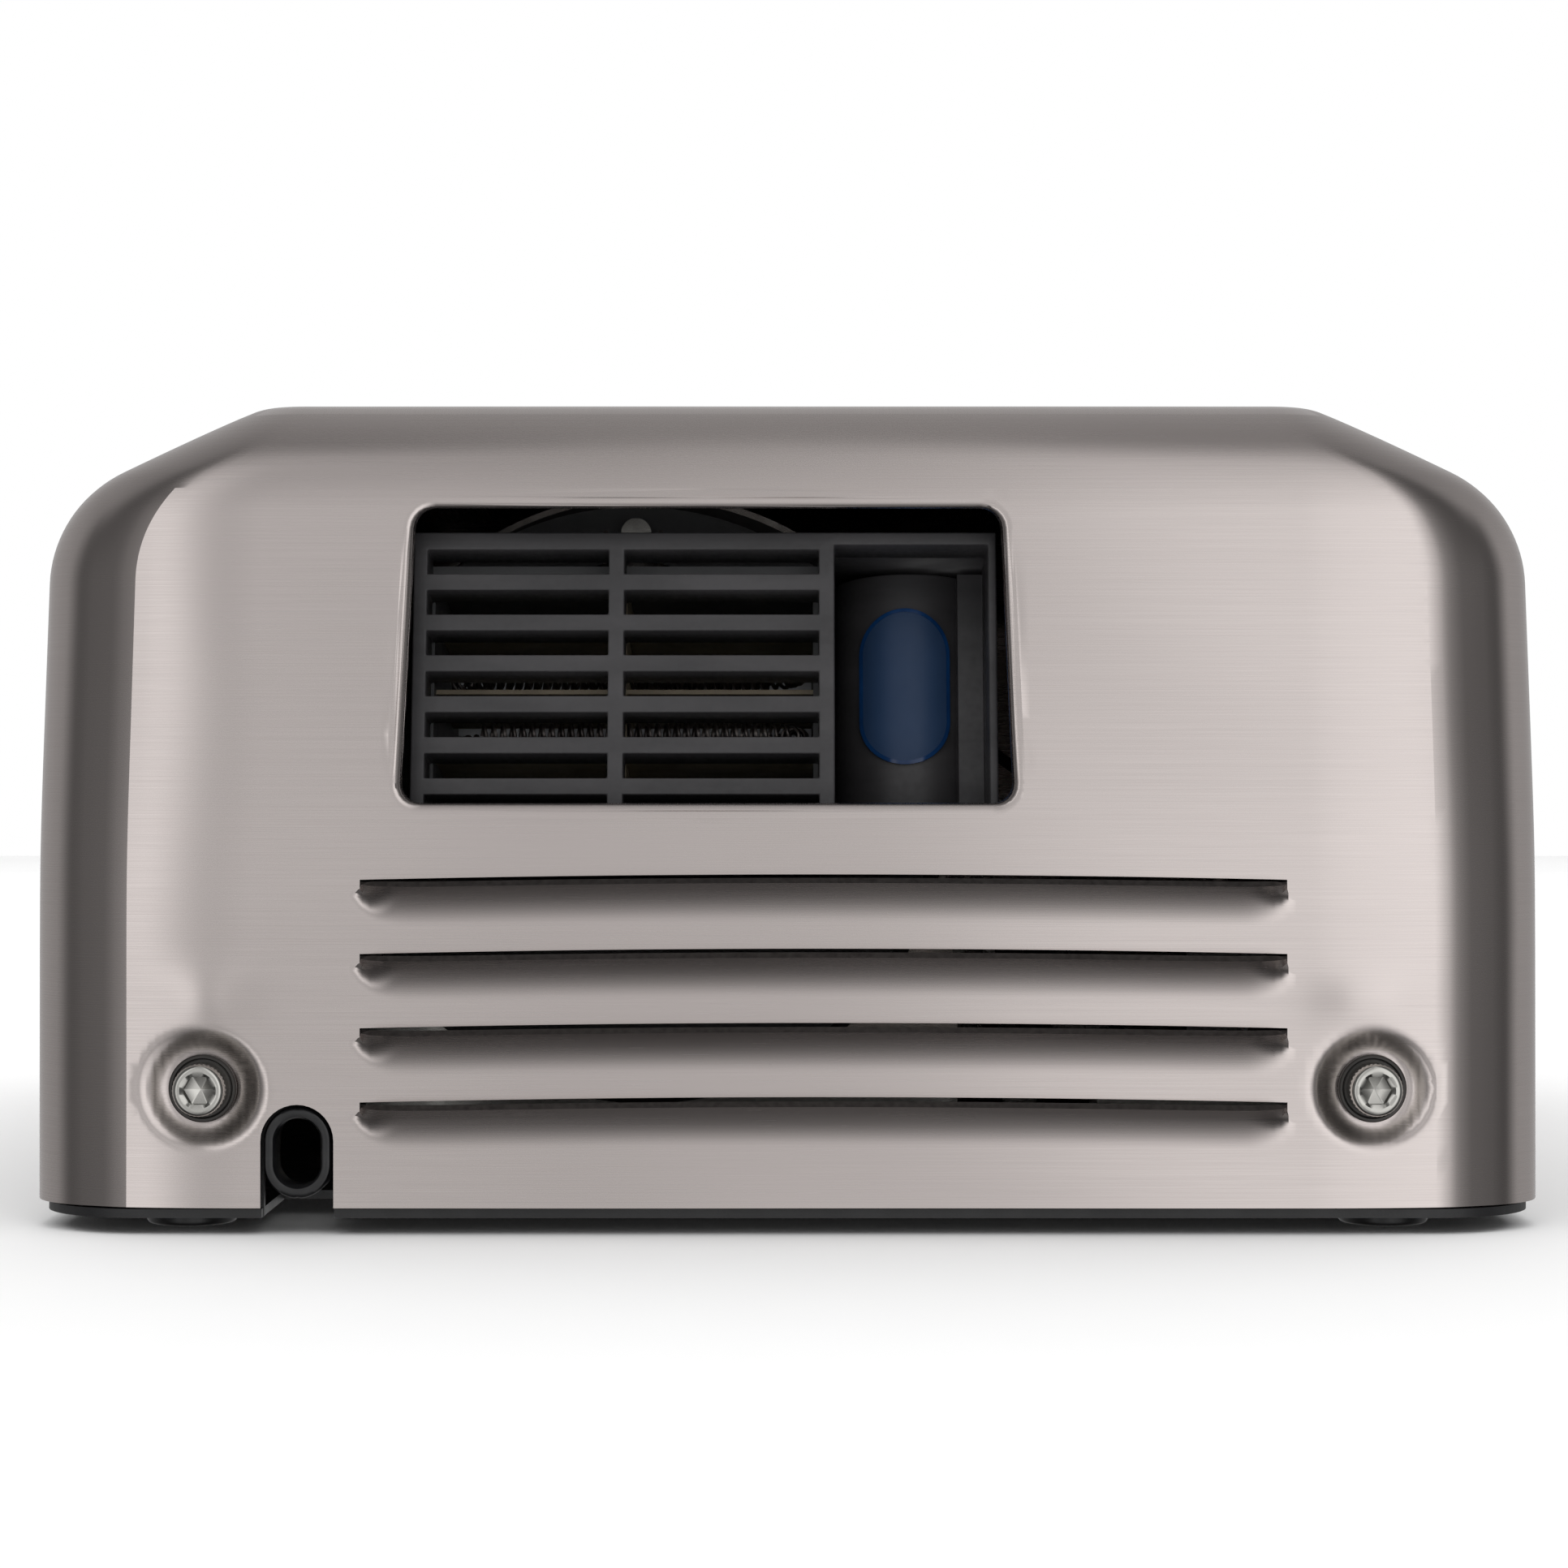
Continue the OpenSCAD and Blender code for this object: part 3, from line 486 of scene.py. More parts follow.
def brushed_steel():
    """Satin stainless steel: long fine scratches along the brushing, stretched highlights across it."""
    material, tree, shader = new_material("brushed_steel")
    long_streaks = noise(tree, grain_point(tree, (9, 4200, 1)), 1.0, 3.0, 0.6)
    short_streaks = noise(tree, grain_point(tree, (60, 9000, 1)), 1.0, 2.0, 0.6)
    cloud = noise(tree, grain_point(tree, (7, 14, 1)), 1.0, 4.0, 0.5)
    long_share = remap(tree, long_streaks, 0.25, 0.75, 0.0, 0.55)
    short_share = remap(tree, short_streaks, 0.25, 0.75, 0.0, 0.45)
    streaks = combine(tree, "ADD", long_share, short_share)
    colour = blend_colour(tree, streaks, (0.605, 0.548, 0.530), (0.665, 0.603, 0.583))
    streak_gloss = remap(tree, streaks, 0.0, 1.0, 0.30, 0.22)
    gloss = combine(tree, "ADD", streak_gloss, remap(tree, cloud, 0.3, 0.7, -0.02, 0.03))
    paint(tree, shader, colour, gloss)
    shader.inputs["Metallic"].default_value = 1.0
    shader.inputs["Anisotropic"].default_value = 0.75
    shader.inputs["Anisotropic Rotation"].default_value = 0.25
    tangent = add_node(tree, "ShaderNodeTangent", direction_type="UV_MAP", uv_map="grain")
    tree.links.new(tangent.outputs[0], shader.inputs["Tangent"])
    add_bump(tree, shader, streaks, 0.18, 0.015)
    return material


def shaded_cut_edge():
    """The raw cut edge of the sheet: dull, and painted near black, darker than its brushed face, as shade
    along the rim's lower edge and inside the slits.
    """
    material, tree, shader = new_material("shaded_cut_edge")
    marks = noise(tree, object_point(tree), 900.0, 4.0)
    tone = remap(tree, marks, 0.3, 0.7, 0, 1)
    # Painted shade: these near-black tones stand in for the shade along the rim and inside the slits, not
    # for the cut steel's own colour.
    colour = blend_colour(tree, tone, (0.055, 0.050, 0.048), (0.11, 0.10, 0.096))
    paint(tree, shader, colour, remap(tree, marks, 0.3, 0.7, 0.55, 0.7))
    shader.inputs["Metallic"].default_value = 1.0
    add_bump(tree, shader, marks, 0.3, 0.01)
    return material


def black_rubber():
    """Moulded rubber, slightly shiny, with a faint dusty bloom."""
    material, tree, shader = new_material("black_rubber")
    point = object_point(tree)
    bloom = remap(tree, noise(tree, point, 160.0, 6.0), 0.45, 0.8, 0.0, 1.0)
    colour = blend_colour(tree, bloom, (0.008, 0.008, 0.009), (0.022, 0.022, 0.023))
    gloss = mottled(tree, point, 420.0, 3.0, 0.28, 0.42)
    paint(tree, shader, colour, gloss)
    add_bump(tree, shader, noise(tree, point, 2600.0, 2.0), 0.2, 0.03)
    return material


def black_plastic():
    """Glass-filled black plastic with a fine spark-eroded grain and faint flow marks."""
    material, tree, shader = new_material("black_plastic")
    point = object_point(tree)
    flow = noise(tree, object_point(tree, (40, 40, 160)), 1.0, 5.0)
    tone = remap(tree, flow, 0.35, 0.7, 0, 1)
    colour = blend_colour(tree, tone, (0.030, 0.029, 0.031), (0.047, 0.045, 0.048))
    gloss = mottled(tree, point, 900.0, 3.0, 0.42, 0.56)
    paint(tree, shader, colour, gloss)
    add_bump(tree, shader, noise(tree, point, 5200.0, 2.0), 0.25, 0.03)
    return material


def lens_blue():
    """A deep blue infrared window with a slight haze."""
    material, tree, shader = new_material("lens_blue")
    point = object_point(tree)
    haze = mottled(tree, point, 60.0, 3.0, 0, 1)
    colour = blend_colour(tree, haze, (0.018, 0.044, 0.104), (0.025, 0.055, 0.125))
    gloss = mottled(tree, point, 500.0, 3.0, 0.42, 0.52)
    paint(tree, shader, colour, gloss)
    shader.inputs["Specular IOR Level"].default_value = 0.3
    return material


def lens_rim():
    """The lens's own edge, where the blue is purer."""
    material, tree, shader = new_material("lens_rim")
    point = object_point(tree)
    tone = mottled(tree, point, 120.0, 3.0, 0, 1)
    colour = blend_colour(tree, tone, (0.004, 0.028, 0.10), (0.006, 0.05, 0.17))
    gloss = mottled(tree, point, 500.0, 3.0, 0.12, 0.2)
    paint(tree, shader, colour, gloss)
    shader.inputs["Specular IOR Level"].default_value = 0.4
    return material


def striped(name, light, dark, per_metre, roughness, metallic, depth):
    """Fine stripes across Y, for laminated steel, wound wire and ground shafts."""
    material, tree, shader = new_material(name)
    wave = add_node(tree, "ShaderNodeTexWave", [
        ("Vector", object_point(tree)), ("Scale", per_metre / 20), ("Distortion", 0.6), ("Detail", 2.0),
    ], wave_type="BANDS", bands_direction="Y").outputs["Fac"]
    mottle = noise(tree, object_point(tree), 300.0, 4.0)
    share = remap(tree, combine(tree, "MULTIPLY", wave, mottle), 0.0, 0.6, 0, 1)
    colour = blend_colour(tree, share, dark, light)
    gloss = remap(tree, mottle, 0.3, 0.7, roughness - 0.07, roughness + 0.07)
    paint(tree, shader, colour, gloss)
    shader.inputs["Metallic"].default_value = metallic
    add_bump(tree, shader, wave, 0.6, depth)
    return material


def circuit_board():
    """Green solder mask over faintly raised copper tracks."""
    material, tree, shader = new_material("board_green")
    point = object_point(tree)
    tracks = add_node(tree, "ShaderNodeTexBrick", [
        ("Vector", point), ("Scale", 60.0), ("Mortar Size", 0.09), ("Mortar Smooth", 0.3),
        ("Brick Width", 0.9), ("Row Height", 0.3),
        ("Color1", (0, 0, 0, 1)), ("Color2", (0.1, 0.1, 0.1, 1)), ("Mortar", (1, 1, 1, 1)),
    ]).outputs["Color"]
    mottle = noise(tree, point, 200.0, 5.0)
    mask = blend_colour(tree, mottle, (0.008, 0.075, 0.035), (0.014, 0.11, 0.055))
    colour = blend_colour(tree, tracks, mask, (0.03, 0.19, 0.09))
    gloss = remap(tree, mottle, 0.3, 0.7, 0.28, 0.4)
    paint(tree, shader, colour, gloss)
    add_bump(tree, shader, tracks, 0.5, 0.04)
    return material


def floor_material():
    """Pale, even paper with a barely visible tooth."""
    material, tree, shader = new_material("studio_floor")
    point = object_point(tree)
    tone = mottled(tree, point, 3.0, 3.0, 0, 1)
    colour = blend_colour(tree, tone, (0.90, 0.90, 0.90), (0.92, 0.92, 0.92))
    gloss = mottled(tree, point, 80.0, 3.0, 0.8, 0.95)
    paint(tree, shader, colour, gloss)
    shader.inputs["Specular IOR Level"].default_value = 0.1
    return material


# Each plain finish: its light tone, dark tone and roughness, and what is unlike the usual.
FINISHES = {
    "black_paint": ((0.020, 0.020, 0.021), (0.012, 0.012, 0.013), 0.42, {"grain": 0.4, "grain_mm": 0.08}),
    "zinc": (
        (0.66, 0.65, 0.62), (0.50, 0.49, 0.46), 0.2,
        {"metallic": 1.0, "grain": 0.1, "grain_mm": 0.02},
    ),
    "oxide_steel": ((0.10, 0.095, 0.09), (0.045, 0.043, 0.042), 0.38, {"metallic": 0.9}),
    "dark_plastic": ((0.035, 0.035, 0.04), (0.018, 0.018, 0.022), 0.3, {"coat": 0.2}),
    "grey_plastic": ((0.13, 0.132, 0.138), (0.095, 0.097, 0.10), 0.5, {"grain": 0.4}),
    "mica": (
        (0.55, 0.47, 0.34), (0.30, 0.25, 0.18), 0.35,
        {"scale": 320.0, "metallic": 0.2, "grain": 0.5, "grain_mm": 0.1},
    ),
    "nichrome": ((0.32, 0.29, 0.27), (0.14, 0.12, 0.12), 0.42, {"metallic": 1.0}),
    "aluminium": (
        (0.68, 0.69, 0.71), (0.50, 0.51, 0.53), 0.38,
        {"metallic": 1.0, "grain": 0.5, "grain_mm": 0.08},
    ),
    "carbon": ((0.06, 0.06, 0.062), (0.03, 0.03, 0.031), 0.55, {"grain": 0.5, "grain_mm": 0.06}),
    "white_plastic": ((0.74, 0.73, 0.69), (0.62, 0.60, 0.56), 0.42, {}),
    "red_plastic": ((0.40, 0.028, 0.02), (0.28, 0.018, 0.014), 0.32, {"coat": 0.3}),
    "wire_red": ((0.42, 0.03, 0.022), (0.28, 0.02, 0.015), 0.4, {}),
    "wire_white": ((0.72, 0.71, 0.68), (0.58, 0.57, 0.54), 0.42, {}),
    "wire_black": ((0.03, 0.03, 0.032), (0.016, 0.016, 0.018), 0.4, {}),
}

MATERIALS = {
    "brushed_steel": brushed_steel(),
    "shaded_cut_edge": shaded_cut_edge(),
    "black_rubber": black_rubber(),
    "black_plastic": black_plastic(),
    "lens_blue": lens_blue(),
    "lens_rim": lens_rim(),
    "board_green": circuit_board(),
    "laminations": striped(
        "laminations", (0.16, 0.16, 0.17), (0.05, 0.05, 0.055), 1400,
        roughness=0.45, metallic=0.7, depth=0.05,
    ),
    "copper": striped(
        "copper", (0.62, 0.25, 0.11), (0.22, 0.06, 0.03), 1500,
        roughness=0.32, metallic=0.8, depth=0.12,
    ),
    "ground_steel": striped(
        "ground_steel", (0.66, 0.65, 0.64), (0.42, 0.41, 0.41), 2600,
        roughness=0.24, metallic=1.0, depth=0.01,
    ),
}
for finish, (light, dark, roughness, unlike) in FINISHES.items():
    MATERIALS[finish] = finish_material(finish, light, dark, roughness, **unlike)


def dress_cad_nodes():
    """Gives every CAD node the material of its slot in the record."""
    for part in frame["record"]["subparts"]:
        mesh = frame["nodes"][part["node"]].data
        mesh.materials.clear()
        mesh.materials.append(MATERIALS[part["material_slot"]])


# ---------------------------------------------------------------- the cover


def cover_profile():
    """Half width and height of the cover's section, from the rim to the middle of the front."""
    side_x = COVER_W / 2 - SIDE_DRAFT
    shoulder = (side_x, FRONT_Z - (side_x - FRONT_HALF_W) * math.tan(CHAMFER))
    side = math.pi / 2 + math.atan(SIDE_DRAFT / (shoulder[1] - RIM_Z))
    low = fillet(shoulder, side, math.pi - CHAMFER, SHOULDER_R, 18)
    high = fillet((FRONT_HALF_W, FRONT_Z), math.pi - CHAMFER, math.pi, FRONT_R, 8)
    wall = [
        (COVER_W / 2 + (low[0][0] - COVER_W / 2) * t, RIM_Z + (low[0][1] - RIM_Z) * t)
        for t in np.linspace(0, 1, 30, endpoint=False)
    ]
    chamfer = [
        (low[-1][0] + (high[0][0] - low[-1][0]) * t, low[-1][1] + (high[0][1] - low[-1][1]) * t)
        for t in np.linspace(0, 1, 10)[1:-1]
    ]
    front = [
        (w, FRONT_Z + CROWN * (1 - (w / FRONT_HALF_W) ** 2))
        for w in (80, 65, 50, 35, 20, 8)
    ]
    return wall + low + chamfer + high + front


def edge_round(z):
    """How far the underside has rounded away towards the front at height z."""
    rise = np.clip(np.asarray(z) - (FRONT_Z - EDGE_R), 0, EDGE_R)
    return EDGE_R - np.sqrt(EDGE_R ** 2 - rise ** 2)


def louvre_shape(x, z):
    """How far the louvres push the sheet outward at a point of the underside."""
    total = np.zeros_like(x)
    across = (x - LOUVRE_X) / LOUVRE_HALF
    end = np.clip((1 - np.abs(across)) * LOUVRE_HALF / HOOD_END, 0, 1)
    fade = np.sqrt(1 - (1 - end) ** 2)
    for i in range(LOUVRE_COUNT):
        upper, lower = slit_lines(i, x)
        length = HOOD_LENGTH * (0.45 + 0.55 * fade)
        below = (lower - z) / length
        hood = np.where((below >= -1e-6) & (below < 1), (1 - below) ** 2, 0)
        total += fade * HOOD_OUT * hood
    return total


def slit_lines(i, x):
    """Heights of the upper and lower edges of slit i at x."""
    across = np.clip((x - LOUVRE_X) / LOUVRE_HALF, -1, 1)
    upper = LOUVRE_TOP - i * LOUVRE_PITCH + LOUVRE_BOW * (1 - across ** 2)
    return upper, upper - SLIT_GAP * (0.45 + 0.55 * np.sqrt(1 - across ** 12))


def dimple_shape(x, z):
    """How far the screw dimples push the sheet inward at a point of the underside."""
    total = np.zeros_like(x)
    for side in (-1, 1):
        reach = np.hypot(x - side * SCREW_X, z - SCREW_Z)
        slope = np.clip((reach - DIMPLE_FLOOR_R) / (DIMPLE_R - DIMPLE_FLOOR_R), 0, 1)
        total += DIMPLE_DEPTH * (1 + np.cos(math.pi * slope)) / 2
        above = np.hypot((x - side * SWELLING_X) / SWELLING_W, (z - SWELLING_Z) / SWELLING_H)
        total -= SWELLING_OUT * np.exp(-above ** 2)
    return total


def window_outline():
    """The window in the underside: a rounded rectangle, slightly wider at the bottom."""
    outline = []
    for x, z in rounded_rectangle(WINDOW_W, WINDOW_H, WINDOW_R, 7):
        wider = 1 - WINDOW_TAPER * z / WINDOW_H
        outline.append((WINDOW_X + x * wider, WINDOW_Z + z))
    return outline


def window_roll(x, z):
    """How far the sheet rolls inward along the window's edge."""
    wide = WINDOW_W / 2 * (1 - WINDOW_TAPER * (z - WINDOW_Z) / WINDOW_H) - WINDOW_R
    over_x = np.abs(x - WINDOW_X) - wide
    over_z = np.abs(z - WINDOW_Z) - (WINDOW_H / 2 - WINDOW_R)
    away = np.hypot(np.maximum(over_x, 0), np.maximum(over_z, 0)) - WINDOW_R
    near = np.clip(1 - np.maximum(away, 0) / EDGE_ROLL, 0, 1)
    return EDGE_ROLL * (1 - np.sqrt(1 - near ** 2)) * ROLL_SHARE


def plain_y(z):
    """Y of the underside's outer face at height z where nothing is pressed into it."""
    z = np.minimum(np.asarray(z, float), FRONT_Z)
    lean = LEAN * LEAN_SOFTNESS * np.logaddexp(0, (z - LEAN_Z) / LEAN_SOFTNESS)
    return PANEL_Y + lean + edge_round(z)


def press(x, z):
    """How far inward the underside lies of its plain face at a point.

    The louvres are pressed outward. Drawn sheet is never quite flat, so it has a slow wave too.
    """
    x = np.asarray(x, float)
    z = np.asarray(z, float)
    ease = EASE_DEPTH * np.clip((np.abs(x) - EASE_FROM) / EASE_RUN, 0, 1.4) ** 2
    wave = SHEET_WAVE * np.sin(x / 17 + np.sin(z / 15)) * np.cos(z / 19 + x / 60)
    return dimple_shape(x, z) - louvre_shape(x, z) + window_roll(x, z) + ease + wave


def underside_y(x, z):
    """Y of the underside's outer face at a point."""
    return plain_y(z) + press(x, z)


def cover_ring(half, z):
    """One closed ring of points around the cover: its -Y edge comes last."""
    low = float(plain_y(z)) + max(0.0, FRONT_HALF_W - half) * (z > FRONT_Z)
    high = TOP_Y - (COVER_W / 2 - half)
    radius = max(LEAST_EDGE_R, EDGE_R - 0.7 * float(edge_round(z)))
    side, near, far = half - radius, low + radius, high - radius
    corners = ((side, near, -1), (side, far, 0), (-side, far, 1), (-side, near, 2))
    runs = (SIDE_STEPS, EDGE_STEPS, SIDE_STEPS, EDGE_STEPS)
    ring = []
    for n, (x, y, quarter) in enumerate(corners):
        turn = quarter * math.pi / 2 + np.linspace(0, math.pi / 2, CORNER_STEPS)
        ring += [(x + radius * math.cos(a), y + radius * math.sin(a), z) for a in turn]
        start = ring[-1]
        after, next_turn = corners[(n + 1) % 4], (quarter + 1) * math.pi / 2
        end = (after[0] + radius * math.cos(next_turn), after[1] + radius * math.sin(next_turn), z)
        for t in np.linspace(0, 1, runs[n])[1:-1]:
            ring.append((start[0] + (end[0] - start[0]) * t, start[1] + (end[1] - start[1]) * t, z))
    pressed = []
    for x, y, z in ring:
        facing = np.clip((low + radius - y) / radius, 0, 1)
        pressed.append((x, y + float(press(x, z)) * facing ** 2, z))
    return pressed


def slit_outline(i):
    """The closed outline of slit i."""
    ends = np.linspace(0, 6, 16)
    middle = np.linspace(6, 2 * LOUVRE_HALF - 6, 119)[1:-1]
    x = LOUVRE_X - LOUVRE_HALF + np.concatenate([ends, middle, 2 * LOUVRE_HALF - ends[::-1]])
    upper, lower = slit_lines(i, x)
    lower[0] -= END_NICK
    lower[-1] -= END_NICK
    return list(zip(x, lower)) + list(zip(x[::-1], upper[::-1]))


def notch_outline():
    """The notch for the grommet, from the rim up and over to the rim again."""
    radius = NOTCH_W / 2
    up = [(-radius, z) for z in np.linspace(RIM_Z, NOTCH_H, 9)[:-1]]
    over = [(-radius * math.cos(a), NOTCH_H + radius * math.sin(a)) for a in np.linspace(0, math.pi, 19)]
    down = [(radius, z) for z in np.linspace(NOTCH_H, RIM_Z, 9)[1:]]
    return [(GROMMET_X + x, z) for x, z in up + over + down]


def grown(outline, distance):
    """The outline moved outward by a distance."""
    grown_points = []
    count = len(outline)
    for i, (x, z) in enumerate(outline):
        ax, az = outline[i - 1]
        bx, bz = outline[(i + 1) % count]
        length = math.hypot(bx - ax, bz - az) or 1
        grown_points.append((x + distance * (bz - az) / length, z - distance * (bx - ax) / length))
    return grown_points


def circle(x, z, radius, steps):
    """Outline of a circle around a point."""
    turn = np.linspace(0, 2 * math.pi, steps, endpoint=False)
    return [(x + radius * math.cos(a), z + radius * math.sin(a)) for a in turn]


def underside_grid(half_width, top_z):
    """Points that fill the underside, closer together where it is pressed."""
    points = []
    below, louvres, above = np.arange(4.3, 12, 1.3), np.arange(12, 62, 0.62), np.arange(62.6, top_z, 1.4)
    for z in np.concatenate([below, louvres, above]):
        points += [(x, z) for x in np.arange(-half_width, half_width, 1.3)]
    return np.array(points)


def underside_border(left, right, top):
    """The underside's closed outline: down its left corner, along the rim and notch, and up its right."""
    notch = notch_outline()
    low_z = left[0][1]
    foot = [(x, low_z) for x in np.arange(left[0][0] + 1.5, notch[0][0] - 0.5, 1.5)]
    foot += notch
    foot += [(x, low_z) for x in np.arange(notch[-1][0] + 1.5, right[0][0] - 0.5, 1.5)]
    return left[::-1] + foot + right + top[::-1]


def sheet_only(points, border, holes):
    """Which of the points lie on the sheet: within the border and in none of the holes."""
    keep = inside(points, border)
    for hole in holes:
        keep &= ~inside(points, hole)
    return keep


def triangulated(lines, loose_points):
    """Points and triangles of a flat mesh that keeps every closed line as edges."""
    points = [Vector(p) for line in lines for p in line] + [Vector(p) for p in loose_points]
    edges, start = [], 0
    for line in lines:
        count = len(line)
        edges += [(start + i, start + (i + 1) % count) for i in range(count)]
        start += count
    points, _, triangles = delaunay_2d_cdt(points, edges, [], 0, 1e-6, False)[:3]
    return np.array(points), np.array(triangles)


def underside_mesh(left, right, top):
    """The pierced and pressed sheet between the cover's two lower corners.

    left and right are the corners' points from the rim up, and top joins their upper ends.
    """
    border = underside_border(left, right, top)
    slits = [slit_outline(i) for i in range(LOUVRE_COUNT)]
    screw_holes = [circle(side * SCREW_X, SCREW_Z, SCREW_HOLE_R, 24) for side in (-1, 1)]
    holes = slits + [window_outline()] + screw_holes
    lines = [border] + holes
    lines += [grown(window_outline(), distance) for distance in ROLL_LINES]
    lines += [grown(slit, SLIT_MARGIN) for slit in slits]
    line_points = np.array([p for line in lines for p in line])
    grid = underside_grid(max(x for x, _ in border), max(z for _, z in top))
    grid = grid[sheet_only(grid, border, holes)]
    gaps = np.array([np.min(np.hypot(*(line_points - p).T)) for p in grid])
    points, triangles = triangulated(lines, grid[gaps > 0.45])
    triangles = triangles[sheet_only(points[triangles].mean(axis=1), border, holes)]
    x, z = points[:, 0], points[:, 1]
    return np.column_stack([x, underside_y(x, z), z]).tolist(), triangles.tolist()


def cover_shell():
    """The cover's outer face: rings from the rim to the front, the front, and the underside."""
    rings = [cover_ring(half, z) for half, z in cover_profile()]
    count = len(rings[0])
    verts = [p for ring in rings for p in ring]
    faces = []
    lower_edge = range(count - EDGE_STEPS + 1, count)
    split = next(i for i, ring in enumerate(rings) if ring[0][2] > UNDERSIDE_TOP)
    for level in range(len(rings) - 1):
        for i in range(count):
            if level < split and (i in lower_edge or i == lower_edge[0] - 1):
                continue
            j = (i + 1) % count
            here, over = level * count, (level + 1) * count
            faces.append([here + i, here + j, over + j, over + i])
    left = [ring[lower_edge[0] - 1] for ring in rings[:split + 1]]
    right = [ring[0] for ring in rings[:split + 1]]
    top = [rings[split][i] for i in lower_edge]
    flat = [[(p[0], p[2]) for p in line] for line in (left, right, top)]
    more_verts, more_faces = underside_mesh(*flat)
    faces += [[i + len(verts) for i in face] for face in more_faces]
    verts += more_verts
    last = (len(rings) - 1) * count
    faces.append([last + i for i in range(count)])
    return verts, faces


def grain_uv(obj):
    """A UV map whose U runs along the brushing on each face of the cover."""
    layer = obj.data.uv_layers.new(name="grain")
    verts = obj.data.vertices
    for polygon in obj.data.polygons:
        normal = polygon.normal
        if abs(normal.z) > 0.93:
            across = (1, 0)
        elif abs(normal.y) >= abs(normal.x):
            across = (0, 2)
        else:
            across = (1, 2)
        for loop in polygon.loop_indices:
            place = verts[obj.data.loops[loop].vertex_index].co
            layer.data[loop].uv = (place[across[0]], place[across[1]])


def build_cover():
    """The cover: the outer face, thickened inward, with its cut edges left raw and painted near black as
    shade.
    """
    verts, faces = cover_shell()
    cover = make_object("cover_sheet", verts, faces, "cover", MATERIALS["brushed_steel"], 30)
    cover.data.materials.append(MATERIALS["shaded_cut_edge"])
    add_modifier(
        # The rim faces take the second material, the painted shade of the cut edges.
        cover, "SOLIDIFY", thickness=SHEET_T * MM, offset=-1.0, use_even_offset=False,
        material_offset_rim=1,
    )
    smooth_shade(cover, 30)
    grain_uv(cover)
    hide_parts("cover")


# ---------------------------------------------------------------- the pieces on the underside


def at_window(verts):
    """Places points given as (x, depth behind the window, height up the lean)."""
    lean = Matrix.Translation((0, WINDOW_Y, WINDOW_Z)) @ Matrix.Rotation(-LEAN_ANGLE, 4, "X")
    return moved(verts, lean)


def slab(outline, near, far):
    """A plate with the given outline in (x, height), from depth near to depth far."""
    return loft([[(x, near, z) for x, z in outline], [(x, far, z) for x, z in outline]])


def box(x0, x1, y0, y1, z0, z1):
    """A block between two corners."""
    return slab([(x0, z0), (x1, z0), (x1, z1), (x0, z1)], y0, y1)


def joined(*solids):
    """Several (verts, faces) solids as one."""
    verts, faces = [], []
    for more_verts, more_faces in solids:
        faces += [[i + len(verts) for i in face] for face in more_faces]
        verts += list(more_verts)
    return verts, faces


def pierced_plate(x_lines, z_lines, is_hole, near, far):
    """A plate on a grid of lines, with the cells that is_hole names left out."""
    columns, rows = len(x_lines) - 1, len(z_lines) - 1

    def solid(i, j):
        return 0 <= i < columns and 0 <= j < rows and not is_hole(i, j)

    verts = [(x, y, z) for y in (near, far) for z in z_lines for x in x_lines]
    width, layer = len(x_lines), len(x_lines) * len(z_lines)
    faces = []
    for i in range(columns):
        for j in range(rows):
            if not solid(i, j):
                continue
            a = j * width + i
            corners = [a, a + 1, a + 1 + width, a + width]
            faces += [corners, [c + layer for c in corners[::-1]]]
            sides = ((i, j - 1), (i + 1, j), (i, j + 1), (i - 1, j))
            for n, beside in enumerate(sides):
                if not solid(*beside):
                    p, q = corners[n], corners[(n + 1) % 4]
                    faces.append([p, q, q + layer, p + layer])
    return verts, faces


def build_grille():
    """The moulded outlet: two columns of slots, and the deep pocket for the sensor beside them."""
    x_lines = [GRILLE_LEFT, *SLOT_COLUMNS[0], *SLOT_COLUMNS[1], POCKET_LEFT, POCKET_RIGHT, GRILLE_RIGHT]
    z_lines = [GRILLE_LOW, POCKET_LOW]
    for row in reversed(range(SLOT_ROWS)):
        middle = SLOT_TOP - row * SLOT_PITCH
        z_lines += [middle - SLOT_H / 2, middle + SLOT_H / 2]
    z_lines += [POCKET_HIGH, GRILLE_HIGH]

    def is_hole(i, j):
        if i == 5:
            return 1 <= j < len(z_lines) - 2
        return i in (1, 3) and j >= 2 and j % 2 == 0 and j < len(z_lines) - 2

    verts, faces = pierced_plate(x_lines, z_lines, is_hole, GRILLE_NEAR, GRILLE_FAR)
    grille = make_object("grille_plate", at_window(verts), faces, "chassis", MATERIALS["black_plastic"])
    soften(grille, 0.32, 3)
    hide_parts("outlet_grille")
    build_pocket()


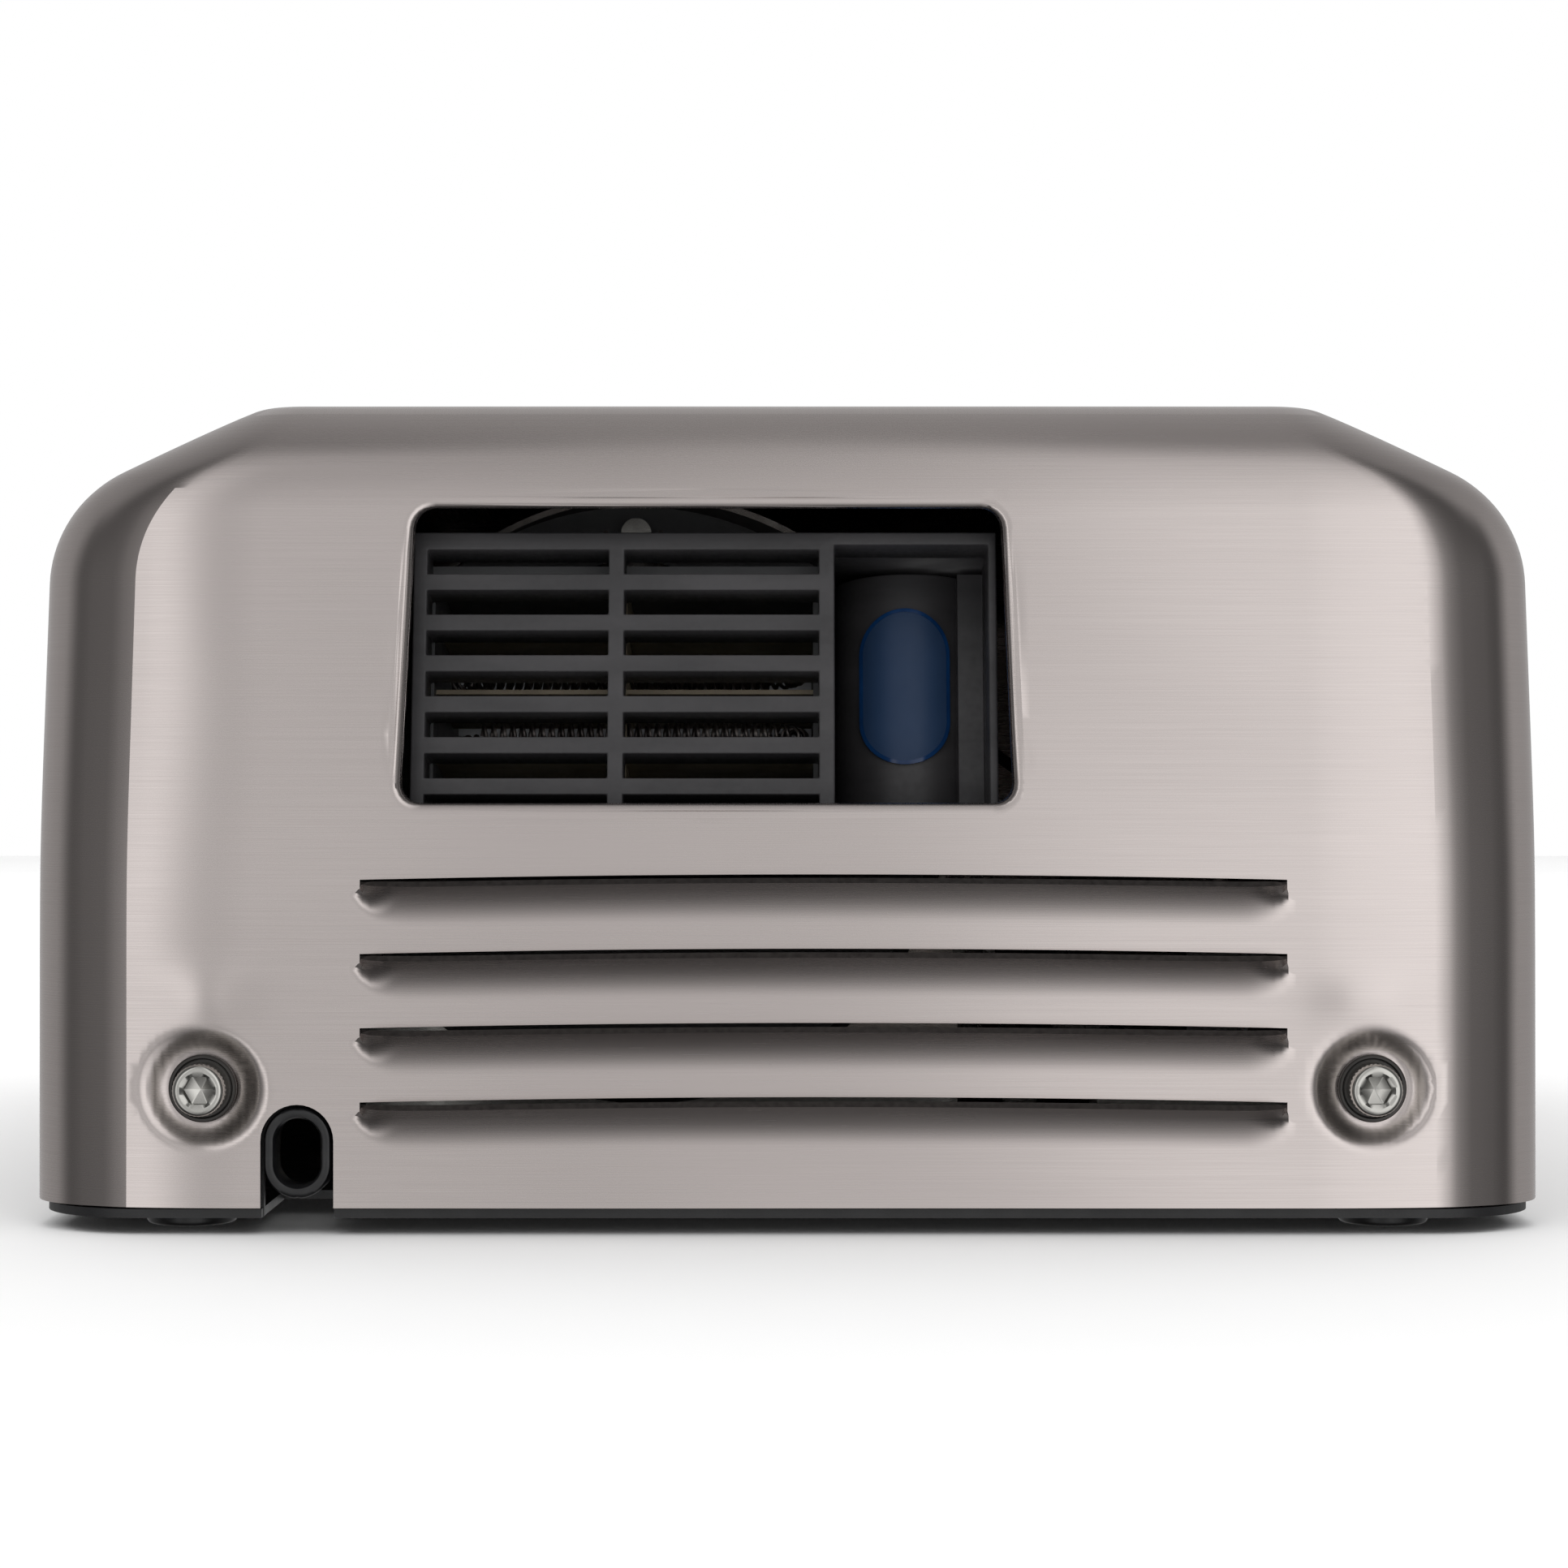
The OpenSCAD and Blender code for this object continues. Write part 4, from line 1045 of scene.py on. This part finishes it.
def build_pocket():
    """The sensor's pocket: a round-fronted column stands in it, with a ledge on its right."""
    arc = np.linspace(-math.pi / 2, math.asin((LEDGE_X - SENSOR_X) / SENSOR_R), 40)
    inner = [(POCKET_LEFT, GRILLE_FAR), (POCKET_LEFT, SENSOR_DEPTH)]
    inner += [(SENSOR_X + SENSOR_R * math.sin(a), SENSOR_DEPTH - SENSOR_R * math.cos(a)) for a in arc]
    inner += [(LEDGE_X, LEDGE_DEPTH), (POCKET_RIGHT, LEDGE_DEPTH), (POCKET_RIGHT, GRILLE_FAR)]
    back = SENSOR_DEPTH + 4
    outer = [(GRILLE_RIGHT, GRILLE_FAR), (GRILLE_RIGHT, back)]
    outer += [(POCKET_WALL, back), (POCKET_WALL, GRILLE_FAR)]
    column_top = POCKET_HIGH - COLUMN_GAP
    walls = loft([[(x, y, z) for x, y in inner + outer] for z in (POCKET_LOW, column_top)])
    over = [(POCKET_LEFT, GRILLE_FAR), (POCKET_LEFT, back - 2)]
    over += [(POCKET_RIGHT, back - 2), (POCKET_RIGHT, GRILLE_FAR)]
    upper_walls = loft([[(x, y, z) for x, y in over + outer] for z in (column_top, POCKET_HIGH)])
    floor = box(POCKET_WALL, GRILLE_RIGHT, GRILLE_FAR, back, GRILLE_LOW, POCKET_LOW)
    roof = box(POCKET_WALL, GRILLE_RIGHT, GRILLE_FAR, back, POCKET_HIGH, GRILLE_HIGH)
    verts, faces = joined(walls, upper_walls, floor, roof)
    pocket = make_object("grille_pocket", at_window(verts), faces, "chassis", MATERIALS["black_plastic"])
    soften(pocket, 0.3, 2)
    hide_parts("outlet_grille")


def lens_face(scales, radius, bulge):
    """Rings of the lens's outline, shrunk by each scale and wrapped on the column."""
    rings = []
    for scale in scales:
        ring = []
        for x, z in stadium(LENS_W * scale, LENS_H - LENS_W * (1 - scale), 28):
            away = LENS_X + x - SENSOR_X
            depth = SENSOR_DEPTH - math.sqrt(radius ** 2 - away ** 2) - bulge * (1 - scale ** 4)
            ring.append((LENS_X + x, depth, z))
        rings.append(ring)
    return rings


def build_lens():
    """The sensor's window: a blue stadium with a raised rim, bent round the column."""
    edge = lens_face((1.0, 1.0, 0.97, 0.93, 0.92), LENS_R, 0.3)
    edge[0] = [(x, y + 2.5, z) for x, y, z in edge[0]]
    edge.append([(x, y + 1.0, z) for x, y, z in edge[-1]])
    verts, faces = loft(edge)
    rim = make_object("lens_rim", at_window(verts), faces, "chassis", MATERIALS["lens_rim"])
    glass = lens_face((0.92, 0.9, 0.75, 0.55, 0.35, 0.15, 0.03), LENS_R - 0.2, 0.35)
    glass.insert(0, [(x, y + 1.5, z) for x, y, z in glass[0]])
    verts, faces = loft(glass)
    window = make_object("lens_glass", at_window(verts), faces, "chassis", MATERIALS["lens_blue"])
    for piece in (rim, window):
        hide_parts("sensor_lens")


def shank_sections(turn):
    """The threaded shank as (height, radius at each angle of turn), from a tapered tip up."""
    sections = []
    for z in np.arange(-SHANK_L, -0.9, 0.1):
        thread = np.abs((z / THREAD_PITCH - turn / (2 * math.pi)) % 1 - 0.5) * 2
        taper = min(1.0, 0.55 + (z + SHANK_L) * 0.45)
        sections.append((z, (SHANK_R - THREAD_DEPTH * thread) * taper))
    return sections


def head_sections(turn):
    """The knurled head with its hexagonal socket, as (height, radius at each angle of turn)."""
    even = np.ones_like(turn)
    hexagon = SOCKET / 2 / np.cos(turn % (math.pi / 3) - math.pi / 6)
    head = SCREW_HEAD / 2
    knurled = head - 0.07 + 0.07 * np.cos(turn * 36)
    neck = SHANK_R * 0.95 * even
    sections = [(-0.8, neck), (0, neck), (0, (head - 0.4) * even), (0.4, knurled), (HEAD_L - 0.9, knurled)]
    for a in np.linspace(0, math.pi / 2, 6):
        radius = head - 0.9 + HEAD_ROUND * math.cos(a)
        sections.append((HEAD_L - HEAD_ROUND + HEAD_ROUND * math.sin(a), radius * even))
    return sections + [
        (HEAD_L, (SOCKET / 2 + 0.75) * even), (HEAD_L - 0.35, hexagon), (HEAD_L - 2.6, hexagon),
        (HEAD_L - 2.7, 0.92 * hexagon), (HEAD_L - 3.7, 0.1 * even),
    ]


def screw_rings():
    """Rings of a socket-head cap screw along Z: the tip at the bottom, the socket at the top."""
    turn = np.linspace(0, 2 * math.pi, 72, endpoint=False)
    return [
        [(r * math.cos(a), r * math.sin(a), z) for r, a in zip(radii, turn)]
        for z, radii in shank_sections(turn) + head_sections(turn)
    ]


def build_screws():
    """The two cap screws, and the grooved washers under their heads."""
    for side, name in ((-1, "left"), (1, "right")):
        place = Matrix.Translation((side * SCREW_X, WASHER_Y, SCREW_Z))
        place = place @ Matrix.Rotation(math.pi / 2, 4, "X")
        verts, faces = loft(screw_rings())
        verts = moved(verts, place)
        screw = make_object("cap_screw_" + name, verts, faces, "screw_" + name, MATERIALS["zinc"], 28)
        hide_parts("cover_screw_" + name)
        verts, faces = lathe(WASHER_SECTION)
        verts = moved(verts, place)
        washer = make_object("washer_" + name, verts, faces, "cover", MATERIALS["oxide_steel"], 28)
        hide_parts("screw_washers")


def build_grommet():
    """An oval rubber grommet with a lip on each side of its bracket and a mould seam top and bottom."""
    rings = []
    for y, half_w, half_h in GROMMET_SECTION:
        ring = []
        for x, z in stadium(2 * half_w, 2 * half_h, 33):
            seam = 0.16 * math.exp(-(x / 0.25) ** 2) * (1 if half_w > 5 else 0)
            ring.append((GROMMET_X + x, y, GROMMET_Z + z * (1 - seam / half_h)))
        rings.append(ring)
    verts = [p for ring in rings for p in ring]
    count = len(rings[0])
    loops = [list(range(i * count, (i + 1) * count)) for i in range(len(rings))]
    faces = ring_faces(loops + loops[:1])
    grommet = make_object("grommet", verts, faces, "chassis", MATERIALS["black_rubber"], 40)
    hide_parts("cable_grommet")


def build_feet():
    """Four rubber feet with rounded lower edges; their stems snap into the base plate."""
    edge = 0.8
    sole = [(0, 0.25), (4.5, 0.25), (4.9, 0)]
    rounded = [
        (6.9 + edge * math.sin(a), edge - edge * math.cos(a))
        for a in np.linspace(0, math.pi / 2, 7)
    ]
    shoulder = [(7.7, 2.3), (7.5, 2.8), (3, 2.8)]
    stem = [(3, 4.3), (4.2, 4.3), (4.0, 5.0), (3.4, 6.1), (2.6, 6.3), (0, 6.3)]
    profile = sole + rounded + shoulder + stem
    for x, side in ((-FOOT_X, "left"), (FOOT_X, "right")):
        for y, row in ((-FOOT_Y, "lower"), (FOOT_Y, "upper")):
            verts, faces = lathe(profile)
            place = Matrix.Translation((x, y, 0))
            foot = make_object(f"foot_{row}_{side}_rubber", moved(verts, place), faces, "chassis",
                               MATERIALS["black_rubber"], 40)
            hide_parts(f"foot_{row}_{side}")


# ---------------------------------------------------------------- wire


def serpentine(up):
    """The middle line of one heater element, back and forth at one height."""
    first, last = HEATER_Y - 2 * HEATER_BEND, HEATER_Y + 2 * HEATER_BEND
    turns = np.linspace(0, math.pi, 13)[1:-1]
    path = [(HEATER_NEAR, first, up), (HEATER_FAR, first, up)]
    for a in turns:
        depth = HEATER_Y - HEATER_BEND - HEATER_BEND * math.cos(a)
        path.append((HEATER_FAR + HEATER_BEND * math.sin(a), depth, up))
    path += [(HEATER_FAR, HEATER_Y, up), (HEATER_NEAR, HEATER_Y, up)]
    for a in turns:
        depth = HEATER_Y + HEATER_BEND - HEATER_BEND * math.cos(a)
        path.append((HEATER_NEAR - HEATER_BEND * math.sin(a), depth, up))
    return path + [(HEATER_NEAR, last, up), (HEATER_FAR, last, up)]


def coiled(path, radius, pitch, steps):
    """A helix of the given radius and pitch around a flat path."""
    points = np.array(path)
    lengths = np.concatenate([[0], np.cumsum(np.hypot(*np.diff(points[:, :2], axis=0).T))])
    places = np.arange(0, lengths[-1], pitch / steps)
    helix = []
    for along in places:
        x, y, z = (np.interp(along, lengths, points[:, k]) for k in range(3))
        i = min(int(np.searchsorted(lengths, along, side="right")) - 1, len(points) - 2)
        dx, dy = (points[i + 1] - points[i])[:2] / (lengths[i + 1] - lengths[i])
        a = 2 * math.pi * along / pitch
        aside = radius * math.cos(a)
        helix.append((x - dy * aside, y + dx * aside, z + radius * math.sin(a)))
    return helix


def build_heater_coils():
    """Three elements of resistance wire, each wound as one long coil."""
    for n, up in enumerate(HEATER_ROWS):
        helix = coiled(serpentine(up), HEATER_COIL_R, HEATER_PITCH, 12)
        verts, faces = tube(helix, HEATER_WIRE_R, 6)
        name = f"heater_element_{n + 1}"
        coil = make_object(name, at_window(verts), faces, "chassis", MATERIALS["nichrome"], 60)
        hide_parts("heater_coil")


def build_leads():
    """The wiring, as smooth insulated leads."""
    for node, slot, radius, routes in LEADS:
        for n, route in enumerate(routes):
            verts, faces = tube(curve_through(route), radius, 14)
            lead = make_object(f"{node}_{n + 1}", verts, faces, "chassis", MATERIALS[slot], 60)
            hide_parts(node)


# ---------------------------------------------------------------- studio


# How bright the room is at each angle round from the front, in degrees; positive is towards +X.
ROOM_TONES = (
    (-180, 0.50), (-126, 0.38), (-95, 0.34), (-88, 0.24), (-76, 0.10), (-58, 0.14), (-44, 0.24),
    (-39, 0.40), (-33, 0.75), (-28, 1.20), (-24, 1.40), (-21, 1.00), (-18, 0.50), (-12, 0.68),
    (-8.5, 0.88), (-6, 0.64), (-2, 0.60), (2, 0.68), (5, 0.98), (9, 1.16), (18, 1.22), (28, 1.34),
    (36, 0.80), (44, 0.28), (60, 0.13), (77, 0.08), (88, 0.26), (95, 0.40), (128, 0.38), (180, 0.50),
)


def top_light():
    """One wide soft light straight overhead, which the metal doesn't mirror."""
    side = 7.0
    radiance = 1.2
    data = bpy.data.lights.new("top_light", "AREA")
    data.shape = "RECTANGLE"
    data.size = side
    data.size_y = side
    data.energy = radiance * math.pi * side * side
    light = bpy.data.objects.new("top_light", data)
    light.location = (0, 0.5, 2.5)
    light.visible_glossy = False
    bpy.context.scene.collection.objects.link(light)


def room_light():
    """A room around the object: soft boxes either side of the front, and dark gaps beyond them.

    The camera sees it as plain white.
    """
    world = bpy.data.worlds.new("studio")
    world.use_nodes = True
    bpy.context.scene.world = world
    tree = world.node_tree
    way = add_node(tree, "ShaderNodeTexCoord").outputs["Generated"]
    parts = add_node(tree, "ShaderNodeSeparateXYZ", [("Vector", way)]).outputs
    ahead = combine(tree, "MULTIPLY", parts["Y"], -1.0)
    turn = combine(tree, "ARCTAN2", parts["X"], ahead)
    ramp = add_node(tree, "ShaderNodeValToRGB", [("Fac", remap(tree, turn, -math.pi, math.pi, 0, 1))])
    ramp.color_ramp.interpolation = "EASE"
    stops = ramp.color_ramp.elements
    while len(stops) < len(ROOM_TONES):
        stops.new(0.5)
    for stop, (degrees, tone) in zip(stops, ROOM_TONES):
        stop.position = (degrees + 180) / 360
        stop.color = (tone, tone, tone, 1)
    above = remap(tree, parts["Z"], 0.3, 1.0, 1.0, 0.6)
    below = remap(tree, parts["Z"], -0.95, -0.15, 0.12, 1.0)
    room = combine(tree, "MULTIPLY", ramp.outputs[0], combine(tree, "MULTIPLY", above, below))
    seen = add_node(tree, "ShaderNodeLightPath").outputs["Is Camera Ray"]
    strength = add_node(tree, "ShaderNodeMix", [("Factor", seen), (2, room), (3, 1.0)]).outputs[0]
    tree.links.new(strength, tree.nodes["Background"].inputs["Strength"])
    tree.nodes["Background"].inputs["Color"].default_value = (1, 1, 1, 1)


def paper_floor():
    """A pale floor, which the metal doesn't mirror."""
    reach = 3.0
    corners = [(-reach, -reach, 0), (reach, -reach, 0), (reach, reach, 0), (-reach, reach, 0)]
    mesh = bpy.data.meshes.new("studio_floor")
    mesh.from_pydata(corners, [], [(0, 1, 2, 3)])
    mesh.materials.append(floor_material())
    floor = bpy.data.objects.new("studio_floor", mesh)
    bpy.context.scene.collection.objects.link(floor)
    floor.visible_glossy = False


def camera():
    """A level camera in front of the underside."""
    data = bpy.data.cameras.new("camera")
    data.lens = 82.4
    data.sensor_width = 36.0
    data.clip_start = 0.01
    obj = bpy.data.objects.new("camera", data)
    obj.location = (-0.0006, -0.762, 0.0755)
    obj.rotation_euler = (math.pi / 2, 0, 0)
    bpy.context.scene.collection.objects.link(obj)
    bpy.context.scene.camera = obj
    bpy.context.scene.view_settings.view_transform = "Standard"


dress_cad_nodes()
build_cover()
build_grille()
build_lens()
build_screws()
build_grommet()
build_feet()
build_heater_coils()
build_leads()
room_light()
top_light()
paper_floor()
camera()
